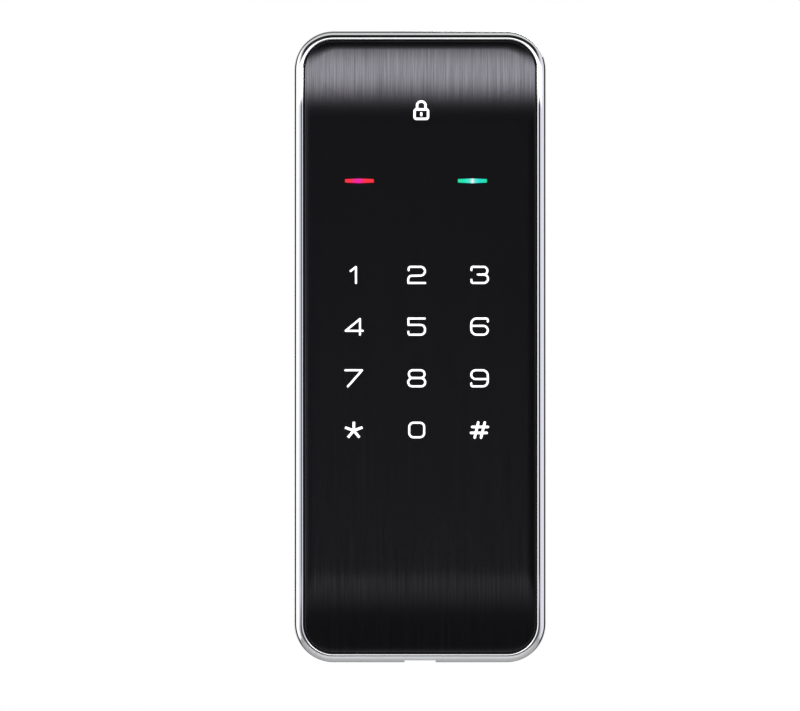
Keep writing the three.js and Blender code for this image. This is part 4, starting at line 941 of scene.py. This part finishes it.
# ---- Inside unit ----
def cover_skin(name):
    """The inside unit's skin: a deep tray with an arc between its sides and its face. The outer surface
    rises from the rim, rolls over the arc and closes on the middle line; the inner one follows it."""
    low_z, high_z = cover_low[2], top_cover_high[2]
    path = outline(INSIDE_WIDTH, high_z - low_z, INSIDE_RADIUS, (low_z + high_z) / 2, corner_steps=20,
                   side_step=4)
    face, wall, rim = INSIDE_FACE_Y, COVER_WALL, 0.3
    inner = [(wall + 1.5, face - wall), (wall + 0.45, face - wall - 0.45), (wall, face - wall - 1.5)]
    sides = [(wall, INSIDE_DOOR_Y), (rim, INSIDE_DOOR_Y), (0.0, INSIDE_DOOR_Y + rim)]
    roll = rolled(0.0, face, -COVER_EDGE, np.linspace(0, 90, 11))
    return loft(name, path, inner + sides + roll, crease=40, caps=5)


def face_hole(place, radius):
    """A hole through the lower cover's face, with its edge eased."""
    deep, eased, out = INSIDE_FACE_Y - 6, INSIDE_FACE_Y - 0.25, INSIDE_FACE_Y + 0.25
    return lathe("hole", [(0.0, deep), (radius, deep), (radius, eased), (radius + 0.5, out), (0.0, out)],
                 place, sides=64)


def seam_lip():
    """Boxes behind the covers' seam: a lip on each side, and a low step along the face."""
    inner_x, face = INSIDE_WIDTH / 2 - COVER_WALL, INSIDE_FACE_Y - COVER_WALL - 1.5
    start = span("inside_chassis")[1][1] + 0.5
    step = INSIDE_WIDTH / 2 - 6
    boxes = []
    for side in (-1, 1):
        for out, low, high in ((0.5, -3, -0.3), (-0.15, -1, 1.5)):
            near, far = sorted((side * (inner_x - 1), side * (inner_x + out)))
            boxes.append(box_cutter(near, far, start, face, SEAM_LOW_Z + low, SEAM_LOW_Z + high))
    boxes.append(box_cutter(-step, step, face - 1, INSIDE_FACE_Y - 0.7, SEAM_LOW_Z - 0.5,
                            SEAM_LOW_Z + SEAM - 0.03))
    return boxes


def lower_shell():
    """The lower cover, with its bush, button and lens holes, its two screw tabs, and a lip that
    closes the seam from inside."""
    piece = cover_skin("lower_shell")
    holes = []
    for node in ("thumbturn_bush", "status_lens"):
        _, _, place, radius = measure(node)
        holes.append(face_hole(place, radius + 0.12))
    holes.append(face_hole((0.0, measure("privacy_button")[2][1]), 4.5))
    above = box_cutter(-FAR, FAR, 0, FAR, SEAM_LOW_Z, FAR)
    carve(piece, above, *holes, crease=40)
    tab_low = span("battery_tray")[0][1]
    tab_high = tab_low + 2
    tabs, drills = [], []
    for side, node in ((-1, "cover_screw_left"), (1, "cover_screw_right")):
        x, z = measure(node)[2]
        near, far = sorted((x - side * 3, side * (INSIDE_WIDTH / 2 - 1)))
        tabs.append(box_cutter(near, far, tab_low, tab_high, SEAM_LOW_Z - 8, SEAM_LOW_Z - 2))
        tabs.append(box_cutter(x - 3, x + 3, tab_low, tab_high, SEAM_LOW_Z - 4, cover_high[2]))
        drills.append(drill(1.8, tab_low - 1, tab_high + 1, (x, z)))
    carve(piece, *tabs, *seam_lip(), how="UNION", crease=40)
    carve(piece, *drills, crease=40)
    dress(piece, "lock_body", "black_plastic", "lower_cover")


def sliding_cover():
    """The battery cover, which lifts straight off, with a thumb scoop near its foot: a barrel with
    eased ends, lying across and sunk a little into the face."""
    piece = cover_skin("sliding_cover")
    below = box_cutter(-FAR, FAR, 0, FAR, -FAR, top_cover_low[2])
    middle_y, middle_z, half, radius, ease, sides = INSIDE_FACE_Y + 15, SEAM_LOW_Z + 9.13, 11, 16, 0.6, 96
    angle = np.linspace(0, 2 * np.pi, sides, endpoint=False)
    reach = np.array([0.0, radius - ease, radius, radius, radius - ease, 0.0])
    x = np.array([-half, -half, -half + 0.8, half - 0.8, half, half])
    points = np.stack([np.repeat(x[:, None], sides, axis=1), middle_y + np.outer(reach, np.cos(angle)),
                       middle_z + np.outer(reach, np.sin(angle))], axis=-1)
    carve(piece, below, grid_mesh("scoop", points, wrap_columns=True), crease=40)
    dress(piece, "battery_door", "black_plastic", "battery_cover")


def thumb_lever():
    """The thumbturn: a turned disc with a stepped rim, and a lever whose sides draw in towards a
    rounded top."""
    low, high, _, radius = measure("thumbturn")
    base, edge = low[1], 0.6
    profile = [(0.0, base), (radius - edge, base), *arc((radius - edge, base + 1.3), edge, -60, 60, 8),
               (radius - 1.4, base + 2.35), *arc((radius - 5, base - 2.6), 5.85, 62, 90, 8),
               (0.0, base + 3.3)]
    disc = lathe("thumb_lever", profile, (0.0, 0.0), sides=128, crease=30)
    width, length, end_radius, draw_in, top_round = 9, 33, 4.4, 0.8, 1.6
    path = outline(width, length, end_radius, side_step=1.5)
    levels = [(0.0, base + 2), (0.35, base + 5), (0.7, base + 8), (draw_in, high[1] - 1.8),
              *rolled(draw_in, high[1], -top_round, [18, 36, 54, 72, 90])]
    carve(disc, loft("lever", path, levels, caps=5), how="UNION", crease=32)
    dress(disc, "turning_spindle", "chrome_plate", "thumbturn")


def turned_bush():
    """The bush the thumbturn runs in."""
    low, high, _, radius = measure("thumbturn_bush")
    bore, edge = 6.6, 0.2
    profile = [(bore, low[1]), (radius, low[1]), (radius, high[1] - edge), (radius - edge, high[1]),
               (bore, high[1])]
    piece = lathe("turned_bush", profile, (0.0, 0.0), sides=96, closed=True)
    dress(piece, "lock_body", "white_plastic", "thumbturn_bush")


def dished_button():
    """The privacy button: a stem, a flange behind the cover's face, and a dished top."""
    low, high, (_, z), _ = measure("privacy_button")
    radius, stem, edge, dish_radius, flange = 4.2, 1.4, 0.5, 3.4, INSIDE_FACE_Y - COVER_WALL - 0.3
    dish = [(r, high[1] - 0.35 * math.cos(r / dish_radius * math.pi / 2) ** 2)
            for r in np.linspace(dish_radius, 0.0, 9)]
    profile = [(0.0, low[1]), (stem - 0.1, low[1]), (stem, flange - 1), (radius + 1, flange - 1),
               (radius + 1, flange), (radius, flange), (radius, high[1] - edge),
               *arc((radius - edge, high[1] - edge), edge, 0, 90), *dish]
    piece = lathe("dished_button", profile, (0.0, z), sides=96)
    dress(piece, "button", "chrome_plate", "privacy_button")


def domed_lens():
    """The status light's lens."""
    low, high, (_, z), radius = measure("status_lens")
    profile = [(0.0, low[1]), (radius, low[1]), (radius, high[1] - 0.3),
               *arc((radius - 0.9, high[1] - 0.9), 0.9, 20, 90, 8), (0.0, high[1])]
    piece = lathe("domed_lens", profile, (0.0, z), sides=64)
    dress(piece, "lock_body", "white_plastic", "status_lens")


def cells():
    """The AA cells: a sleeve rolled over at both ends, a flat foot and a nub at the plus end."""
    for number in range(1, 5):
        node = f"battery_{number}"
        low, high, (x, _), radius = measure(node)
        y, length = (low[1] + high[1]) / 2, high[2] - low[2]
        minus_z, plus_z = (low[2], high[2]) if number % 2 else (high[2], low[2])
        body, roll = length - 1.2, 0.5
        profile = [(0.0, 0.0), (radius - 1.6, 0.0), (radius - 1.4, 0.25), (radius - 1.0, 0.0),
                   *arc((radius - roll, roll), roll, -90, 0, 5),
                   *arc((radius - roll, body - roll), roll, 0, 90, 5), (radius - 1.2, body - 0.15),
                   (radius - 1.3, body - 0.5), (3.4, body - 0.5), (2.7, body - 0.3),
                   *arc((2.3, length - 0.4), 0.4, 0, 90, 5), (0.0, length)]
        r, h = np.array(profile).T
        angle = np.linspace(0, 2 * np.pi, 64, endpoint=False)
        z = minus_z + np.sign(plus_z - minus_z) * h
        points = np.stack([x + np.outer(r, np.cos(angle)), y + np.outer(r, np.sin(angle)),
                           np.repeat(z[:, None], 64, axis=1)], axis=-1)
        piece = grid_mesh(f"sleeved_cell_{number}", points, wrap_columns=True, crease=40)
        dress(piece, "lock_body", "cell_sleeve", node, material=cell_wrap(minus_z, plus_z))


# ---- Studio ----
def aim(thing, place, target):
    """Puts a light or camera at place, looking at target."""
    thing.location = place
    thing.rotation_euler = (Vector(target) - Vector(place)).to_track_quat("-Z", "Y").to_euler()


def area_light(name, place, target, size, power):
    """A soft rectangular light that faces its target."""
    data = bpy.data.lights.new(name, "AREA")
    data.shape = "RECTANGLE"
    data.size, data.size_y = size
    data.energy = power
    aim(put(name, data), place, target)


def room_ramp(tree, angle, stops):
    """Brightness along an angle in degrees, -180 to 180, through (angle, grey or colour) stops."""
    return ramp(tree, remap(tree, angle, -180.0, 180.0), [
        ((where + 180) / 360, value if isinstance(value, tuple) else (value,) * 3)
        for where, value in stops])


def window(tree, value, rise, full, fade, end):
    """A smooth mask: it rises from rise to full, stays at 1 and falls from fade to end."""
    up = remap(tree, value, rise, full, curve="SMOOTHSTEP")
    down = remap(tree, value, fade, end, 1.0, 0.0, curve="SMOOTHSTEP")
    return maths(tree, "MULTIPLY", up, down)


ROOM_LEVEL = [
    (-180, 0.95), (-176, 0.9), (-172, 0.02), (-114, 0.03), (-100, 1.3), (-60, 1.3),
    (-46, (0.84, 0.84, 0.9)), (-14, (0.76, 0.76, 0.82)), (-8, 0.05), (0, 0.012), (12, 0.012),
    (20, 0.2), (30, (0.78, 0.78, 0.86)), (98, (0.84, 0.84, 0.92)), (110, 0.03), (172, 0.02),
    (176, 0.9), (180, 0.95),
]
ROOM_UPRIGHT = [
    (-180, 0.6), (-176, 0.3), (-170, 0.13), (-96, 0.13), (-86, 0.3), (-38, 0.38), (-31, 0.09),
    (-13, 0.09), (-8, 0.3), (-3, 0.46), (-1, 0.34), (1.2, 0.03), (4, 0.0), (44, 0.02), (50, 0.8),
    (74, 0.75), (86, 0.17), (176, 0.17), (180, 0.6),
]
STRIP_LIGHT = 4.7


def studio_room():
    """The room the lock mirrors: white behind, dark in front of it, bright screens to both sides with
    dark edges, a bright band overhead, and one strip light above the front."""
    world = bpy.data.worlds.new("studio")
    bpy.context.scene.world = world
    world.use_nodes = True
    tree = world.node_tree
    way = add_node(tree, "TexCoord").outputs["Generated"]
    x, y, z = add_node(tree, "SeparateXYZ", Vector=way).outputs
    front = maths(tree, "MULTIPLY", y, -1.0)
    across, over = (maths(tree, "MULTIPLY", maths(tree, "ARCTAN2", side, front), 180 / math.pi)
                    for side in (x, z))
    rise = maths(tree, "MULTIPLY", z, z)
    spread = maths(tree, "ADD", maths(tree, "ADD", maths(tree, "MULTIPLY", x, x), rise), 1e-6)
    tilt = remap(tree, maths(tree, "DIVIDE", rise, spread), 0.12, 0.75, curve="SMOOTHSTEP")
    walls = blend(tree, tilt, room_ramp(tree, across, ROOM_LEVEL), room_ramp(tree, over, ROOM_UPRIGHT))
    strip = maths(tree, "MULTIPLY", window(tree, over, 6.0, 15.0, 19.0, 28.0),
                  window(tree, across, -60.0, -40.0, 40.0, 60.0))
    white = (1.0, 1.0, 1.0, 1.0)
    room = add_node(tree, "Background", Color=walls, Strength=1.0)
    light = add_node(tree, "Background", Color=white, Strength=maths(tree, "MULTIPLY", strip, STRIP_LIGHT))
    plain = add_node(tree, "Background", Color=white, Strength=1.0)
    both = add_node(tree, "AddShader")
    chosen = add_node(tree, "MixShader")
    seen = add_node(tree, "LightPath").outputs["Is Camera Ray"]
    for node, sources in ((both, (room.outputs[0], light.outputs[0])),
                          (chosen, (seen, both.outputs[0], plain.outputs[0]))):
        for socket, source in zip(node.inputs, sources):
            tree.links.new(source, socket)
    tree.links.new(chosen.outputs[0], tree.nodes["World Output"].inputs["Surface"])


def studio():
    """A pale floor under the held-up lock, the room, and soft lights above the floor and behind."""
    floor_z = -340
    path = outline(900, 900, 400, corner_steps=24, side_step=50)
    x, y = path["x"], path["z"]
    rings = np.stack([np.stack([x * s, y * s, np.full_like(x, floor_z)], axis=-1) for s in (1, 0.5, 0)])
    floor = grid_mesh("floor", rings, wrap_columns=True)
    set_finish(floor, new_material("pale_floor", Roughness=0.9, Base_Color=(0.55, 0.55, 0.55, 1))[0])
    studio_room()
    area_light("floor_glow", (0, -0.25, -0.15), (0, -0.251, -0.34), (0.4, 0.2), 0.4)
    area_light("back_softbox", (0.4, 1.2, 0.6), (0, 0.06, UNIT_MIDDLE * MM), (0.8, 0.4), 8)


def camera():
    """A long lens straight in front, so that the lock fills most of the picture's height, a little to
    the right of its middle."""
    scene = bpy.context.scene
    data = bpy.data.cameras.new("camera")
    view = put("camera", data)
    scene.camera = view
    distance, sensor = 4.0, 36
    view_width = 1.2612 * UNIT_HEIGHT * MM
    data.sensor_width = sensor
    data.lens = sensor * distance / view_width
    data.clip_end = 50
    x, z = -0.0252 * view_width, UNIT_MIDDLE * MM - 0.0109 * view_width
    aim(view, (x, CROWN_Y * MM - distance, z), (x, CROWN_Y * MM, z))
    scene.view_settings.view_transform = "Standard"


# ---- The lock ----
camera()
polished_frame()
pressed_seal()
cast_housing()
brushed_panel()
light_lens("red_bar", "light_bar_red", "red_light",
           [(0.0, (1.0, 0.02, 0.04)), (0.22, (1.0, 0.01, 0.06)), (0.44, (0.85, 0.0, 0.45)),
            (0.68, (1.0, 0.01, 0.05)), (1.0, (1.0, 0.02, 0.03))])
light_lens("green_bar", "light_bar_green", "green_light",
           [(0.0, (0.0, 0.8, 0.33)), (0.25, (0.0, 0.8, 0.55)), (0.42, (0.1, 0.82, 0.7)),
            (0.5, (0.95, 1.0, 1.0)), (0.58, (0.1, 0.82, 0.75)), (0.75, (0.0, 0.72, 0.62)),
            (1.0, (0.0, 0.8, 0.36))])
printed_legends()
for number in range(1, 5):
    pan_screw(f"back_plate_screw_{number}")
for side in ("left", "right"):
    through_bolt(side)
    bolt_post(side)
grommet()
linking_cable()
lower_shell()
sliding_cover()
thumb_lever()
turned_bush()
dished_button()
domed_lens()
cells()
dress_cad_nodes()
studio()
